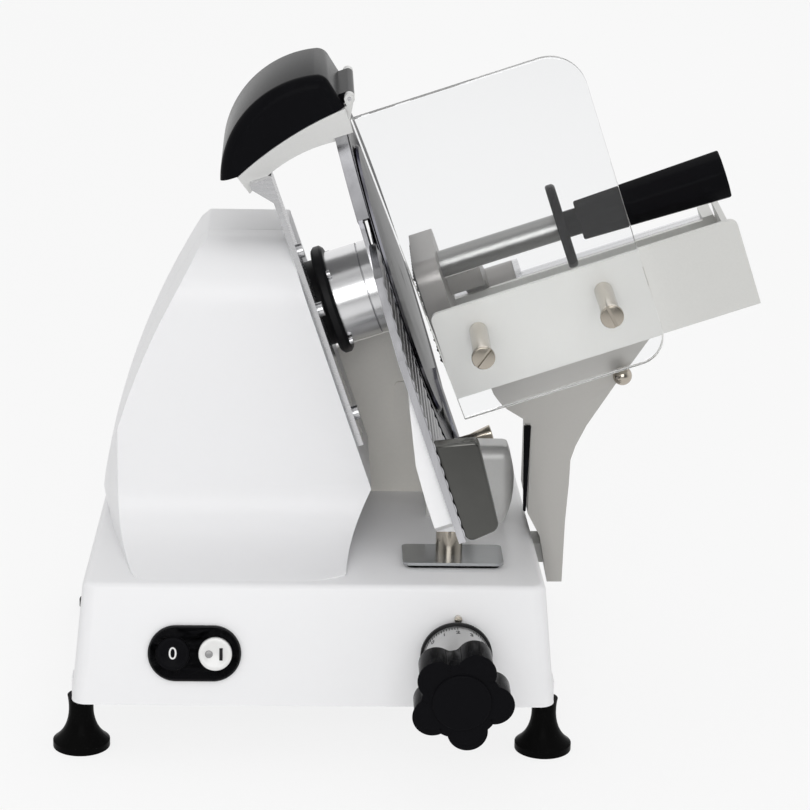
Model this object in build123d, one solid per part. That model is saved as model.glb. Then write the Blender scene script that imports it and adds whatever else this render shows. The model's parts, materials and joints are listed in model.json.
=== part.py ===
from build123d import *
import math
import os

# Meat slicer with a tilted blade, in millimetres.
# X runs to the right of the operator, Y away from the operator and Z up.
# Z = 0 is the table. Y = 0 is the lower front edge of the base until the last
# section, which centres the whole machine on its own outline.
#
# The blade, its hub, the carriage and the food press are tilted together.
# Their places are given along three lines:
#   u  square to the blade, towards the food and upwards
#   y  the same as Y
#   w  along the blade, upwards

# Common values
blade_lean = 19.0
fit = 0.05
gap = 0.3
cut_over = 5.0

# Base
foot_height = 39.0
foot_radius = 19.0
foot_neck_radius = 9.0
foot_flare_height = 13.0
foot_waist_radius = 11.5
foot_x = 154.5
foot_inset_y = 22.0
base_height = 78.0
base_half_width = 160.0
base_depth = 290.0
panel_lean = 19.0
rear_lean = 8.0
side_draft = 6.5
side_taper = 8.0
base_corner_radius = 10.0
base_edge_radius = 5.0
base_wall = 4.0
deck_thickness = 5.0
bottom_plate_thickness = 2.0
bottom_plate_recess = 1.0
boss_radius = 10.0
boss_height = 12.0
boss_drop = 2.5

# Motor tower
tower_front_y = 95.0
tower_split_y = 150.0
tower_back_y = 205.0
tower_height = 206.0
tower_face_u = 87.0
tower_wall = 4.0
tower_left_x = -150.0
tower_belly_x = -124.5
tower_belly_height = 108.0
tower_shoulder_x = -80.0
tower_shoulder_drop = 5.0
tower_top_left_x = -74.0
tower_knuckle_height = 40.0
tower_foot_right_x = 20.0
flare_front_y = 26.0
flare_height = 45.0
flare_left_x = -119.0
flare_left_radius = 15.0
flare_right_radius = 54.0
flare_wall_share = 10.0
tower_top_radius = 40.0

# Blade
blade_diameter = 250.0
blade_axis_w = 252.0
blade_axis_y = 165.0
cut_u = 147.0
blade_seat_radius = 98.0
blade_hub_radius = 40.0
blade_bore_radius = 12.0
blade_hub_depth = 9.0
shaft_radius = 10.0
shaft_end_u = 60.0

# Hub between the tower and the blade
flange_radius = 38.0
flange_start_u = 94.0
flange_end_u = 102.0
neck_radius = 30.0
housing_radius = 32.3
housing_end_u = 134.0
spigot_radius = 24.0
spigot_start_u = 80.0
bearing_radius = 21.0
bearing_width = 12.0
bearing_cap = 3.0
bearing_start_u = housing_end_u - 2 * bearing_width - bearing_cap

# Guard ring round the blade
ring_back_u = 138.5
ring_web_u = 141.5
ring_lip_u = 146.5
ring_inner_radius = 104.0
ring_near_radius = 122.0
ring_lip_radius = 127.0
ring_outer_radius = 130.5
ring_open_top = 35.0
ring_open_bottom = 70.0

# Drive
motor_radius = 40.0
motor_y = 150.0
motor_clearance = 5.87
motor_start_u = -35.0
motor_end_u = 55.0
pulley_start_u = 66.0
pulley_width = 12.0
blade_pulley_radius = 30.0
motor_pulley_radius = 12.0
belt_thickness = 3.0

# Thickness gauge
gauge_front_y = -45.0
gauge_bottom_w = 133.0
gauge_top_w = 312.0
gauge_arc_radius = 131.0
gauge_thickness = 5.5
gauge_travel = 14.8
rail_top_w = 194.5
rail_depth = 10.0
carrier_back_y = 88.0
post_x = 90.6
post_y = 74.0
post_radius = 9.0
post_top_z = 140.0
slot_play = 1.5

# Carriage
carriage_forward = 105.0
carriage_back = 113.0
tray_left_u = 165.0
tray_right_u = 371.0
tray_bottom_w = 199.5
tray_top_w = 259.0
tray_front_y = 35.0
tray_back_y = 205.0
tray_wall = 4.0
guard_front_y = -22.5
guard_thickness = 5.0
guard_left_top_u = 160.0
guard_left_bottom_u = 168.5
guard_right_u = 304.2
guard_top_w = 410.5
guard_bottom_w = 203.0
arm_front_y = 110.0
arm_width = 68.0
arm_wall = 7.0
slide_rod_x = 133.0
slide_rod_z = 97.0
slide_rod_radius = 6.0

# Food press
rail_y = 228.0
rail_w = 205.0
rail_radius = 7.0
head_left_u = 162.0
head_thickness = 16.0
head_front_y = 75.0
head_width = 95.0
head_bottom_w = 205.0
head_top_w = 281.0
handle_y = 122.0
handle_w = 265.0

# Sharpener on top
bracket_front_y = 112.0
bracket_back_y = 212.0

# Thickness knob
knob_x = 93.5
knob_z = 75.0
knob_front_y = -75.0
knob_back_y = -42.0
drum_back_y = 2.0
knob_shaft_radius = 6.0

# Switch
switch_x = -78.6
switch_up = 34.8
switch_length = 61.4
switch_height = 37.0

deck_z = foot_height + base_height
tower_top_z = deck_z + tower_height
U = Vector(math.cos(math.radians(blade_lean)), 0, math.sin(math.radians(blade_lean)))
W = Vector(-math.sin(math.radians(blade_lean)), 0, math.cos(math.radians(blade_lean)))
Y_AXIS = Vector(0, 1, 0)
motor_w = motor_radius + (deck_z + motor_clearance - motor_start_u * U.Z) / W.Z


def tilted(u, y, w):
    """The point at u, y and w."""
    return U * u + Y_AXIS * y + W * w


def plane_point(u, w):
    """X and Z of the point at u and w."""
    point = tilted(u, 0, w)
    return (point.X, point.Z)


def slab_xz(face, y_low, y_high):
    """An outline in X and Z, thick along Y."""
    plane = Plane((0, y_high, 0), x_dir=(1, 0, 0), z_dir=(0, -1, 0))
    return extrude(plane * face, amount=y_high - y_low)


def slab_uw(face, y_low, y_high):
    """An outline in u and w, thick along Y."""
    plane = Plane((0, y_high, 0), x_dir=U, z_dir=(0, -1, 0))
    return extrude(plane * face, amount=y_high - y_low)


def slab_yw(face, u_low, u_high):
    """An outline in Y and w, thick along u."""
    plane = Plane(U * u_low, x_dir=(0, 1, 0), z_dir=U)
    return extrude(plane * face, amount=u_high - u_low)


def slab_yz(face, x_low, x_high):
    """An outline in Y and Z, thick along X."""
    plane = Plane((x_low, 0, 0), x_dir=(0, 1, 0), z_dir=(1, 0, 0))
    return extrude(plane * face, amount=x_high - x_low)


def slab_xy(face, z_low, z_high):
    """An outline in X and Y, thick along Z."""
    return extrude(Plane.XY.offset(z_low) * face, amount=z_high - z_low)


def outline(*points):
    """A flat face with straight sides."""
    return make_face(Polyline(*points, close=True))


def box_face(x_low, x_high, y_low, y_high):
    return outline((x_low, y_low), (x_high, y_low), (x_high, y_high), (x_low, y_high))


def box(x_low, x_high, y_low, y_high, z_low, z_high):
    return slab_xy(box_face(x_low, x_high, y_low, y_high), z_low, z_high)


def rod_u(radius, u_low, u_high, y, w, bore=0):
    face = Pos(y, w) * Circle(radius)
    if bore:
        face = face - Pos(y, w) * Circle(bore)
    return slab_yw(face, u_low, u_high)


def rod_y(radius, y_low, y_high, x, z, bore=0):
    face = Pos(x, z) * Circle(radius)
    if bore:
        face = face - Pos(x, z) * Circle(bore)
    return slab_xz(face, y_low, y_high)


def rod_x(radius, x_low, x_high, y, z, bore=0):
    face = Pos(y, z) * Circle(radius)
    if bore:
        face = face - Pos(y, z) * Circle(bore)
    return slab_yz(face, x_low, x_high)


def rod_z(radius, z_low, z_high, x, y, bore=0):
    face = Pos(x, y) * Circle(radius)
    if bore:
        face = face - Pos(x, y) * Circle(bore)
    return slab_xy(face, z_low, z_high)


def turned_u(y, w, points):
    """A solid of revolution about the line along u at y and w. Points are (radius, u)."""
    plane = Plane(tilted(0, y, w), x_dir=W, z_dir=(0, -1, 0))
    face = plane * outline(*[(radius, -u) for radius, u in points])
    return revolve(face, axis=Axis(tilted(0, y, w), U))


def turned_y(x, z, points):
    """A solid of revolution about the line along Y at x and z. Points are (radius, y)."""
    plane = Plane((x, 0, z), x_dir=(1, 0, 0), z_dir=(0, 0, 1))
    face = plane * outline(*points)
    return revolve(face, axis=Axis((x, 0, z), (0, 1, 0)))


# Base casting

def base_x(y, z):
    """Half width of the base at y and z."""
    up_share = (z - foot_height) / base_height
    back_share = y / base_depth
    return base_half_width - side_draft * up_share - side_taper * back_share


def panel_y(z):
    """Y of the sloping front panel at height z."""
    return panel_lean * (z - foot_height) / base_height


def rear_y(z):
    return base_depth - rear_lean * (z - foot_height) / base_height


def base_section(inset, z):
    y_low = panel_y(z) + inset
    y_high = rear_y(z) - inset
    x_low = base_x(y_low, z) - inset
    x_high = base_x(y_high, z) - inset
    face = outline((-x_low, y_low), (x_low, y_low), (x_high, y_high), (-x_high, y_high))
    return Plane.XY.offset(z) * face


def base_block(inset, z_low, z_high):
    return loft([base_section(inset, z_low), base_section(inset, z_high)], ruled=True)


panel_out = Vector(0, -base_height, panel_lean).normalized()
panel_plane = Plane((0, 0, foot_height), x_dir=(1, 0, 0), z_dir=panel_out)


def on_panel(face, out_low, out_high):
    """An outline on the front panel, from out_low to out_high in front of it."""
    return extrude(panel_plane.offset(out_low) * face, amount=out_high - out_low)


rear_plane = Plane((0, base_depth, foot_height), x_dir=(-1, 0, 0), z_dir=(0, base_height, rear_lean))


def on_rear(face, out_low, out_high):
    """An outline on the rear wall of the base, from out_low to out_high behind it."""
    return extrude(rear_plane.offset(out_low) * face, amount=out_high - out_low)


gauge_slot_left = post_x - gauge_travel - post_radius - slot_play
gauge_slot_right = post_x + post_radius + slot_play
gauge_slot_front = post_y - post_radius - slot_play
gauge_slot_back = post_y + post_radius + slot_play
gauge_rod_y = 86.0
gauge_rod_z = 94.0
gauge_rod_radius = 5.0
gauge_rod_left = 20.0
gauge_rod_right = 121.0
gauge_lug_width = 5.0
gauge_lug_depth = 14.0
side_slot_bottom = 89.0
side_slot_top = 105.0
rod_boss_radius = 11.0
rod_boss_front_y = 24.0
rod_boss_back_y = 274.0
rod_seat_depth = 4.0
neck_front_y = 133.0
neck_width = 24.0
neck_play = 2.0
knob_boss_radius = 12.0
knob_boss_back_y = 28.0
foot_stud_radius = 3.0
foot_stud_height = 9.0
switch_hole_margin = 4.0
foot_places = [(side * foot_x, y) for side in (-1, 1) for y in (foot_inset_y, base_depth - foot_inset_y)]
inlet_x = -100.0
inlet_z = 72.0
inlet_width = 30.0
inlet_height = 22.0


def make_base_casting():
    block = base_block(0, foot_height, deck_z)
    upright = [edge for edge in block.edges() if edge.bounding_box().size.Z > base_height / 2]
    block = fillet(upright, base_corner_radius)
    rim = [edge for edge in block.edges() if edge.bounding_box().min.Z > deck_z - fit]
    block = fillet(rim, base_edge_radius)
    outer = block
    casting = outer - base_block(base_wall, foot_height - cut_over, deck_z - deck_thickness)
    for x, y in foot_places:
        boss = rod_z(boss_radius, foot_height, foot_height + boss_height, x, y) & outer
        pad = rod_z(foot_neck_radius, foot_height - boss_drop, foot_height + boss_height, x, y)
        casting = casting + boss + (pad & box(-base_half_width, base_half_width, 0, base_depth, 0, deck_z))
    lug_low = gauge_rod_z - gauge_rod_radius - gauge_lug_width
    for x in (gauge_rod_left, gauge_rod_right - gauge_lug_width):
        lug_front = gauge_rod_y - gauge_lug_depth / 2
        casting = casting + box(x, x + gauge_lug_width, lug_front, lug_front + gauge_lug_depth,
                                lug_low, deck_z - deck_thickness / 2)
    casting = casting - rod_x(gauge_rod_radius, gauge_rod_left, gauge_rod_right, gauge_rod_y, gauge_rod_z)
    ends = rod_y(rod_boss_radius, 0, rod_boss_front_y, slide_rod_x, slide_rod_z)
    ends = ends + rod_y(rod_boss_radius, rod_boss_back_y, base_depth, slide_rod_x, slide_rod_z)
    ends = ends + rod_y(knob_boss_radius, 0, knob_boss_back_y, knob_x, knob_z)
    casting = casting + (ends & outer)
    casting = casting - rod_y(slide_rod_radius, rod_boss_front_y - rod_seat_depth,
                              rod_boss_back_y + rod_seat_depth, slide_rod_x, slide_rod_z)
    casting = casting - rod_y(knob_shaft_radius + fit, -cut_over, knob_boss_back_y + cut_over, knob_x, knob_z)
    for x, y in foot_places:
        casting = casting - rod_z(foot_stud_radius + fit, 0, foot_height - boss_drop + foot_stud_height, x, y)
    slot = SlotOverall(gauge_slot_right - gauge_slot_left, gauge_slot_back - gauge_slot_front)
    slot_centre = Pos((gauge_slot_left + gauge_slot_right) / 2, post_y)
    casting = casting - slab_xy(slot_centre * slot, deck_z - deck_thickness - cut_over, deck_z + cut_over)
    casting = casting - box(slide_rod_x, base_half_width + cut_over,
                            neck_front_y - carriage_forward - neck_play,
                            neck_front_y + neck_width + carriage_back + neck_play,
                            side_slot_bottom, side_slot_top)
    hole = SlotOverall(switch_length - 2 * switch_hole_margin, switch_height - 2 * switch_hole_margin)
    casting = casting - on_panel(Pos(switch_x, switch_up) * hole, -2 * base_wall, cut_over)
    inlet = Pos(-inlet_x, inlet_z - foot_height) * Rectangle(inlet_width, inlet_height)
    return casting - on_rear(inlet, -base_wall - cut_over, cut_over)


def make_bottom_plate():
    low = foot_height + bottom_plate_recess
    plate = base_block(base_wall + gap, low, low + bottom_plate_thickness)
    for x, y in foot_places:
        plate = plate - rod_z(boss_radius + gap, 0, deck_z, x, y)
    return plate


def make_feet():
    feet = []
    top = foot_height - boss_drop
    for x, y in foot_places:
        lower = rod_z(foot_radius, 0, foot_flare_height / 3, x, y)
        sections = ((foot_flare_height / 3, foot_radius), (foot_flare_height, foot_waist_radius),
                    (top, foot_neck_radius))
        flare = loft([Plane.XY.offset(z) * Pos(x, y) * Circle(radius) for z, radius in sections])
        stud = rod_z(foot_stud_radius, top, top + foot_stud_height - gap, x, y)
        feet.append(lower + flare + stud)
    return feet


# Motor tower and its rear cover

def face_x(z, inset=0):
    """X of the slanted tower face at height z."""
    return (tower_face_u - inset - z * U.Z) / U.X


def tower_outline(inset):
    """The outline in X and Z, drawn smaller by inset."""
    knuckle_z = deck_z + tower_knuckle_height
    low_z = deck_z + inset
    top_z = tower_top_z - inset
    shoulder = (tower_shoulder_x + inset, tower_top_z - tower_shoulder_drop - inset)
    belly = (tower_belly_x + inset, deck_z + tower_belly_height)
    left = ThreePointArc((tower_left_x + inset, low_z), belly, shoulder)
    rest = Polyline(shoulder, (tower_top_left_x + inset, top_z), (face_x(top_z, inset), top_z),
                    (face_x(knuckle_z, inset), knuckle_z), (tower_foot_right_x - inset, low_z),
                    (tower_left_x + inset, low_z))
    return make_face([left.edge(), *rest.edges()])


def tower_side(inset):
    """The outline in Y and Z, with the flared foot in front."""
    flare_top_z = deck_z + flare_height
    low_z = deck_z + inset
    top_z = tower_top_z - inset
    front_y = tower_front_y + inset
    back_y = tower_back_y - inset
    round_y = tower_front_y + tower_top_radius
    round_z = tower_top_z - tower_top_radius
    reach = (tower_top_radius - inset) * math.sqrt(0.5)
    toe_y = flare_front_y + flare_wall_share * inset
    flare = Spline((toe_y, low_z), (front_y, flare_top_z), tangents=[(1, 0.12), (0, 1)])
    front = Line((front_y, flare_top_z), (front_y, round_z))
    top = ThreePointArc((front_y, round_z), (round_y - reach, round_z + reach), (round_y, top_z))
    rest = Polyline((round_y, top_z), (back_y, top_z), (back_y, low_z), (toe_y, low_z))
    return make_face([flare.edge(), front.edge(), top.edge(), *rest.edges()])


def tower_plan(inset):
    """The outline in X and Y, with round front corners."""
    right_x = face_x(deck_z + tower_knuckle_height) + base_wall - inset
    front_y = flare_front_y + 2 * inset
    back_y = tower_back_y - inset
    left = ThreePointArc((flare_left_x + inset, front_y),
                         ((flare_left_x * 2 + tower_left_x) / 3 - base_wall + inset, tower_front_y),
                         (tower_left_x + inset, back_y))
    rest = Polyline((tower_left_x + inset, back_y), (right_x, back_y), (right_x, front_y),
                    (flare_left_x + inset, front_y))
    plan = make_face([left.edge(), *rest.edges()])
    corners = plan.vertices().group_by(Axis.Y)[0].sort_by(Axis.X)
    plan = fillet(corners[0], flare_left_radius - inset)
    corners = plan.vertices().filter_by(lambda v: abs(v.X - right_x) < fit).sort_by(Axis.Y)
    return fillet(corners[0], flare_right_radius - inset)


def tower_block(inset):
    block = slab_xz(tower_outline(inset), flare_front_y, tower_back_y)
    block = block & slab_yz(tower_side(inset), tower_left_x, -tower_left_x)
    return block & slab_xy(tower_plan(inset), deck_z, tower_top_z)


tower_outer = tower_block(0)
tower_inner = tower_block(tower_wall)
hub_hole = rod_u(spigot_radius + fit, shaft_end_u, flange_start_u, blade_axis_y, blade_axis_w)
wire_hole_radius = 8.0
wire_hole_x = -100.0
wire_hole_y = 125.0


def half_space(y_low, y_high):
    return box(-2 * base_half_width, 2 * base_half_width, y_low, y_high, 0, 2 * tower_top_z)


def make_motor_tower():
    tower = (tower_outer - tower_inner) & half_space(-base_depth, tower_split_y)
    wires = rod_z(wire_hole_radius, deck_z - cut_over, deck_z + tower_wall + cut_over, wire_hole_x,
                  wire_hole_y)
    return tower - hub_hole - wires


def make_tower_rear_cover():
    cover = (tower_outer - tower_inner) & half_space(tower_split_y + gap, base_depth)
    return cover - hub_hole


# Hub

flange_screw_count = 4
flange_screw_radius = 2.4
flange_screw_head = 2.5
flange_chamfer = 2.0


def flange_screw_place(index):
    angle = math.radians(45 + 90 * index)
    reach = (flange_radius + housing_radius) / 2
    return (blade_axis_y + reach * math.cos(angle), blade_axis_w + reach * math.sin(angle))


def make_hub_flange():
    disc = turned_u(blade_axis_y, blade_axis_w,
                    [(spigot_radius + fit, tower_face_u), (neck_radius, tower_face_u),
                     (neck_radius, flange_start_u),
                     (flange_radius - flange_chamfer, flange_start_u),
                     (flange_radius, flange_start_u + flange_chamfer),
                     (flange_radius, flange_end_u - flange_chamfer),
                     (flange_radius - flange_chamfer, flange_end_u),
                     (spigot_radius + fit, flange_end_u)])
    return disc


housing_groove_u = 125.0
housing_groove = 0.6


def make_hub_housing():
    bore = shaft_radius + 2 * gap
    body = turned_u(blade_axis_y, blade_axis_w,
                    [(bore, spigot_start_u), (spigot_radius, spigot_start_u), (spigot_radius, flange_end_u),
                     (housing_radius, flange_end_u), (housing_radius, housing_groove_u - housing_groove),
                     (housing_radius - housing_groove, housing_groove_u),
                     (housing_radius, housing_groove_u + housing_groove), (housing_radius, housing_end_u),
                     (bearing_radius, housing_end_u), (bearing_radius, bearing_start_u),
                     (bore, bearing_start_u)])
    return body


def make_blade_bearings():
    """Two ball bearings, each as one ring with the groove between its races."""
    bearings = []
    groove_low = shaft_radius + (bearing_radius - shaft_radius) * 0.35
    groove_high = shaft_radius + (bearing_radius - shaft_radius) * 0.65
    groove_depth = bearing_width / 8
    for index in range(2):
        low = bearing_start_u + index * (bearing_width + 2 * gap)
        high = low + bearing_width
        bearings.append(turned_u(blade_axis_y, blade_axis_w,
                                 [(shaft_radius + fit, low), (groove_low, low),
                                  (groove_low, low + groove_depth),
                                  (groove_high, low + groove_depth), (groove_high, low),
                                  (bearing_radius - fit, low),
                                  (bearing_radius - fit, high), (groove_high, high),
                                  (groove_high, high - groove_depth), (groove_low, high - groove_depth),
                                  (groove_low, high), (shaft_radius + fit, high)]))
    return bearings


# Blade, with its shaft, screws and pulley

blade_screw_count = 3
blade_screw_radius = 4.0
blade_screw_head = 2.0
blade_screw_reach = 27.0
blade_web_back = 5.0
blade_rim_back = 3.4
blade_edge_width = 6.0
blade_dish = 1.2
blade_dish_width = 20.0
blade_seat_depth = 2.6
blade_recess_radius = 36.0
blade_recess_depth = 6.0


def make_blade():
    radius = blade_diameter / 2
    return turned_u(blade_axis_y, blade_axis_w,
                    [(blade_bore_radius, cut_u - blade_hub_depth),
                     (blade_hub_radius, cut_u - blade_hub_depth),
                     (blade_hub_radius, cut_u - blade_web_back),
                     (radius - blade_dish_width, cut_u - blade_rim_back),
                     (radius - blade_edge_width, cut_u - blade_seat_depth), (radius, cut_u - gap),
                     (radius, cut_u),
                     (radius - blade_dish_width, cut_u - blade_dish),
                     (blade_seat_radius, cut_u - blade_seat_depth),
                     (blade_recess_radius, cut_u - blade_seat_depth),
                     (blade_recess_radius, cut_u - blade_recess_depth),
                     (blade_bore_radius, cut_u - blade_recess_depth)])


shaft_collar_radius = 14.0


def make_blade_shaft():
    back = cut_u - blade_hub_depth
    return turned_u(blade_axis_y, blade_axis_w,
                    [(0, shaft_end_u), (shaft_radius, shaft_end_u), (shaft_radius, housing_end_u + gap),
                     (shaft_collar_radius, housing_end_u + gap), (shaft_collar_radius, back),
                     (blade_bore_radius, back),
                     (blade_bore_radius, cut_u - blade_recess_depth), (0, cut_u - blade_recess_depth)])


def make_blade_screws():
    screws = []
    for index in range(blade_screw_count):
        angle = 2 * math.pi * index / blade_screw_count
        y = blade_axis_y + blade_screw_reach * math.cos(angle)
        w = blade_axis_w + blade_screw_reach * math.sin(angle)
        low = cut_u - blade_recess_depth
        screws.append(rod_u(blade_screw_radius, low, low + blade_screw_head, y, w))
    return screws


pulley_hub_radius = 15.0


def pulley(radius, bore, y, w):
    low = pulley_start_u
    high = pulley_start_u + pulley_width
    return turned_u(y, w, [(bore, low), (radius, low), (radius, high), (bore, high)])


def make_blade_pulley():
    wheel = pulley(blade_pulley_radius, shaft_radius, blade_axis_y, blade_axis_w)
    web = pulley_width / 4
    for low in (pulley_start_u - cut_over, pulley_start_u + pulley_width - web):
        wheel = wheel - rod_u(blade_pulley_radius - 2 * belt_thickness, low, low + cut_over + web,
                              blade_axis_y, blade_axis_w, pulley_hub_radius)
    return wheel


motor_shaft_radius = 5.0


def make_motor_pulley():
    wheel = pulley(motor_pulley_radius, motor_shaft_radius, motor_y, motor_w)
    return wheel + rod_u(motor_shaft_radius, motor_end_u + gap, pulley_start_u + pulley_width, motor_y,
                         motor_w)


def belt_loop(grow):
    circles = [Pos(blade_axis_y, blade_axis_w) * Circle(blade_pulley_radius + grow),
               Pos(motor_y, motor_w) * Circle(motor_pulley_radius + grow)]
    return make_hull([circle.edge() for circle in circles])


def make_drive_belt():
    band = belt_loop(gap + belt_thickness) - belt_loop(gap)
    margin = pulley_width / 8
    return slab_yw(band, pulley_start_u + margin, pulley_start_u + pulley_width - margin)


motor_bell_length = 14.0
motor_bell_step = 4.0


def make_motor():
    return turned_u(motor_y, motor_w,
                    [(0, motor_start_u), (motor_radius - motor_bell_step, motor_start_u),
                     (motor_radius - motor_bell_step, motor_start_u + motor_bell_length),
                     (motor_radius, motor_start_u + motor_bell_length),
                     (motor_radius, motor_end_u - motor_bell_length),
                     (motor_radius - motor_bell_step, motor_end_u - motor_bell_length),
                     (motor_radius - motor_bell_step, motor_end_u), (0, motor_end_u)])


mount_thickness = 4.0
mount_half_width = 47.0
mount_drop = 40.0
mount_rise = 24.0
mount_post_radius = 5.0
mount_post_inset = 7.0
mount_bottom_w = motor_w - mount_drop
mount_top_w = motor_w + mount_rise


def make_motor_mount():
    """A plate across the end of the motor, with four posts to the slanted tower face."""
    y_low = motor_y - mount_half_width
    y_high = motor_y + mount_half_width
    plate = slab_yw(box_face(y_low, y_high, mount_bottom_w, mount_top_w), motor_end_u,
                    motor_end_u + mount_thickness)
    plate = plate - rod_u(motor_pulley_radius, motor_end_u - cut_over,
                          motor_end_u + mount_thickness + cut_over,
                          motor_y, motor_w)
    for y in (y_low + mount_post_inset, y_high - mount_post_inset):
        for w in (mount_bottom_w + mount_post_inset, mount_top_w - mount_post_inset):
            plate = plate + rod_u(mount_post_radius, motor_end_u + mount_thickness,
                                  tower_face_u - tower_wall, y, w)
    return plate


# Blade surround: guard ring, its pedestal, the web behind and the removable blade cover

def ring_disc(inner, outer, u_low, u_high):
    return rod_u(outer, u_low, u_high, blade_axis_y, blade_axis_w, inner)


def make_ring_guard():
    """A flat ring behind the blade, with a raised rim except where the food meets the blade."""
    outer = ring_disc(ring_near_radius, ring_outer_radius, ring_back_u, ring_lip_u)
    outer = outer - ring_disc(ring_near_radius - cut_over, ring_lip_radius, ring_web_u, ring_lip_u + cut_over)
    reach = 2 * ring_outer_radius
    top = math.radians(180 - ring_open_top)
    bottom = math.radians(180 + ring_open_bottom)
    wedge = outline((blade_axis_y, blade_axis_w),
                    (blade_axis_y + reach * math.cos(top), blade_axis_w + reach * math.sin(top)),
                    (blade_axis_y - reach, blade_axis_w),
                    (blade_axis_y + reach * math.cos(bottom), blade_axis_w + reach * math.sin(bottom)))
    outer = outer - slab_yw(wedge, ring_back_u - cut_over, ring_lip_u + cut_over)
    return ring_disc(ring_inner_radius, ring_near_radius, ring_back_u, ring_web_u) + outer


tab_y = 180.0
tab_w = 118.0
tab_half_width = 10.0
tab_lift = 0.6
tab_thickness = 2.0
tab_end = 9.0
tab_screw_radius = 2.5
pedestal_front_y = 138.0
pedestal_back_y = 168.0
pedestal_left_x = 104.0
pedestal_right_x = 138.5
pedestal_top_z = 171.5
pedestal_radius = 9.0
pedestal_bulge_radius = 60.0
pedestal_bulge_z = 146.0
pedestal_foot_front_y = 150.0
pedestal_foot_back_y = 199.7
pedestal_foot_left_x = 78.0
pedestal_foot_top_z = 166.0
cover_screw_depth = 12.0


def make_ring_pedestal():
    """The round-cornered block on the deck that carries the ring and takes the cover screw."""
    seat_u = cut_u + tab_lift
    deck_edge_x = (seat_u - deck_z * U.Z) / U.X
    top_edge_x = (seat_u - pedestal_foot_top_z * U.Z) / U.X
    foot = slab_xz(outline((pedestal_foot_left_x, deck_z), (deck_edge_x, deck_z),
                           (top_edge_x, pedestal_foot_top_z),
                           (pedestal_foot_left_x, pedestal_foot_top_z)), pedestal_foot_front_y,
                           pedestal_foot_back_y)
    foot = foot - rod_u(ring_outer_radius, shaft_end_u, cut_u + cut_over, blade_axis_y, blade_axis_w)
    bulge = Pos(pedestal_right_x - pedestal_bulge_radius, pedestal_bulge_z) * Circle(pedestal_bulge_radius)
    pod = box(pedestal_left_x, pedestal_right_x, pedestal_front_y, pedestal_back_y, deck_z, pedestal_top_z)
    rounded = pod.edges().filter_by(Axis.Z) + pod.edges().group_by(Axis.Z)[-1]
    pod = fillet(rounded, pedestal_radius) & slab_xz(bulge, pedestal_front_y, pedestal_back_y)
    whole = foot + (pod - rod_u(ring_outer_radius, shaft_end_u, cut_u + cut_over, blade_axis_y, blade_axis_w))
    screw = rod_u(tab_screw_radius + fit, seat_u - cover_screw_depth, seat_u + cut_over, tab_y, tab_w)
    return whole - screw


web_thickness = 6.0
web_top_w = 207.0
web_bevel = 4.0
web_pad_height = 30.0
web_pad_low_z = 170.0
web_pad_width = 18.0
web_pad_thickness = 2.0


def make_rear_web():
    """The upright panel between the tower and the ring, behind the hub."""
    y_low = pedestal_foot_back_y + gap
    knuckle_z = deck_z + tower_knuckle_height
    right = ring_back_u - fit
    ring_low_w = blade_axis_w - ring_outer_radius
    face = outline((tower_foot_right_x + fit, deck_z), (face_x(knuckle_z) + fit, knuckle_z),
                   plane_point(tower_face_u + fit, web_top_w), plane_point(right - web_bevel, web_top_w),
                   plane_point(right, web_top_w - web_bevel), plane_point(right, ring_low_w),
                   (plane_point(right, ring_low_w)[0], deck_z))
    web = slab_xz(face, y_low, y_low + web_thickness)
    pad_right = (right - web_bevel - (web_pad_low_z + web_pad_height) * U.Z) / U.X
    pad = RectangleRounded(web_pad_width, web_pad_height, web_bevel)
    pad = Pos(pad_right - web_pad_width / 2, web_pad_low_z + web_pad_height / 2) * pad
    web = web + slab_xz(pad, y_low - web_pad_thickness, y_low)
    return web


cover_radius = 96.0
cover_back = 2.1
cover_rim = 0.9
cover_crown = 1.8


def make_blade_cover():
    """The polished disc in front of the blade, with a tab down to the ring pedestal."""
    disc = turned_u(blade_axis_y, blade_axis_w,
                    [(0, cut_u - cover_back), (cover_radius - cover_back, cut_u - cover_back),
                     (cover_radius, cut_u - cover_rim), (cover_radius - cover_back, cut_u + tab_lift),
                     (cover_radius * 0.6, cut_u + cover_crown * 0.8), (0, cut_u + cover_crown)])
    down = Vector(tab_y - blade_axis_y, tab_w - blade_axis_w).normalized()
    side = Vector(-down.Y, down.X)
    start = Vector(blade_axis_y, blade_axis_w) + down * (cover_radius * 0.8)
    end = Vector(tab_y, tab_w) + down * tab_end
    corners = [start + side * tab_half_width, end + side * tab_half_width,
               end - side * tab_half_width, start - side * tab_half_width]
    tab = slab_yw(outline(*[(corner.X, corner.Y) for corner in corners]),
                  cut_u + tab_lift, cut_u + tab_lift + tab_thickness)
    return disc + tab - rod_u(tab_screw_radius + fit, cut_u - cut_over, cut_u + cut_over, tab_y, tab_w)


cover_knob_start = 8.0
cover_knob_end = 23.0
cover_knob_small_radius = 3.8
cover_knob_large_radius = 6.0


def make_cover_knob():
    """The flared nickel screw that holds the blade cover."""
    face_u = cut_u + tab_lift + tab_thickness
    return turned_u(tab_y, tab_w,
                    [(0, face_u - cover_screw_depth), (tab_screw_radius, face_u - cover_screw_depth),
                     (tab_screw_radius, face_u), (cover_knob_small_radius, face_u),
                     (cover_knob_small_radius, face_u + cover_knob_start),
                     (cover_knob_large_radius, face_u + cover_knob_end), (0, face_u + cover_knob_end)])


# Strut and bracket that carry the ring from the tower, with the sharpener on top

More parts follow.
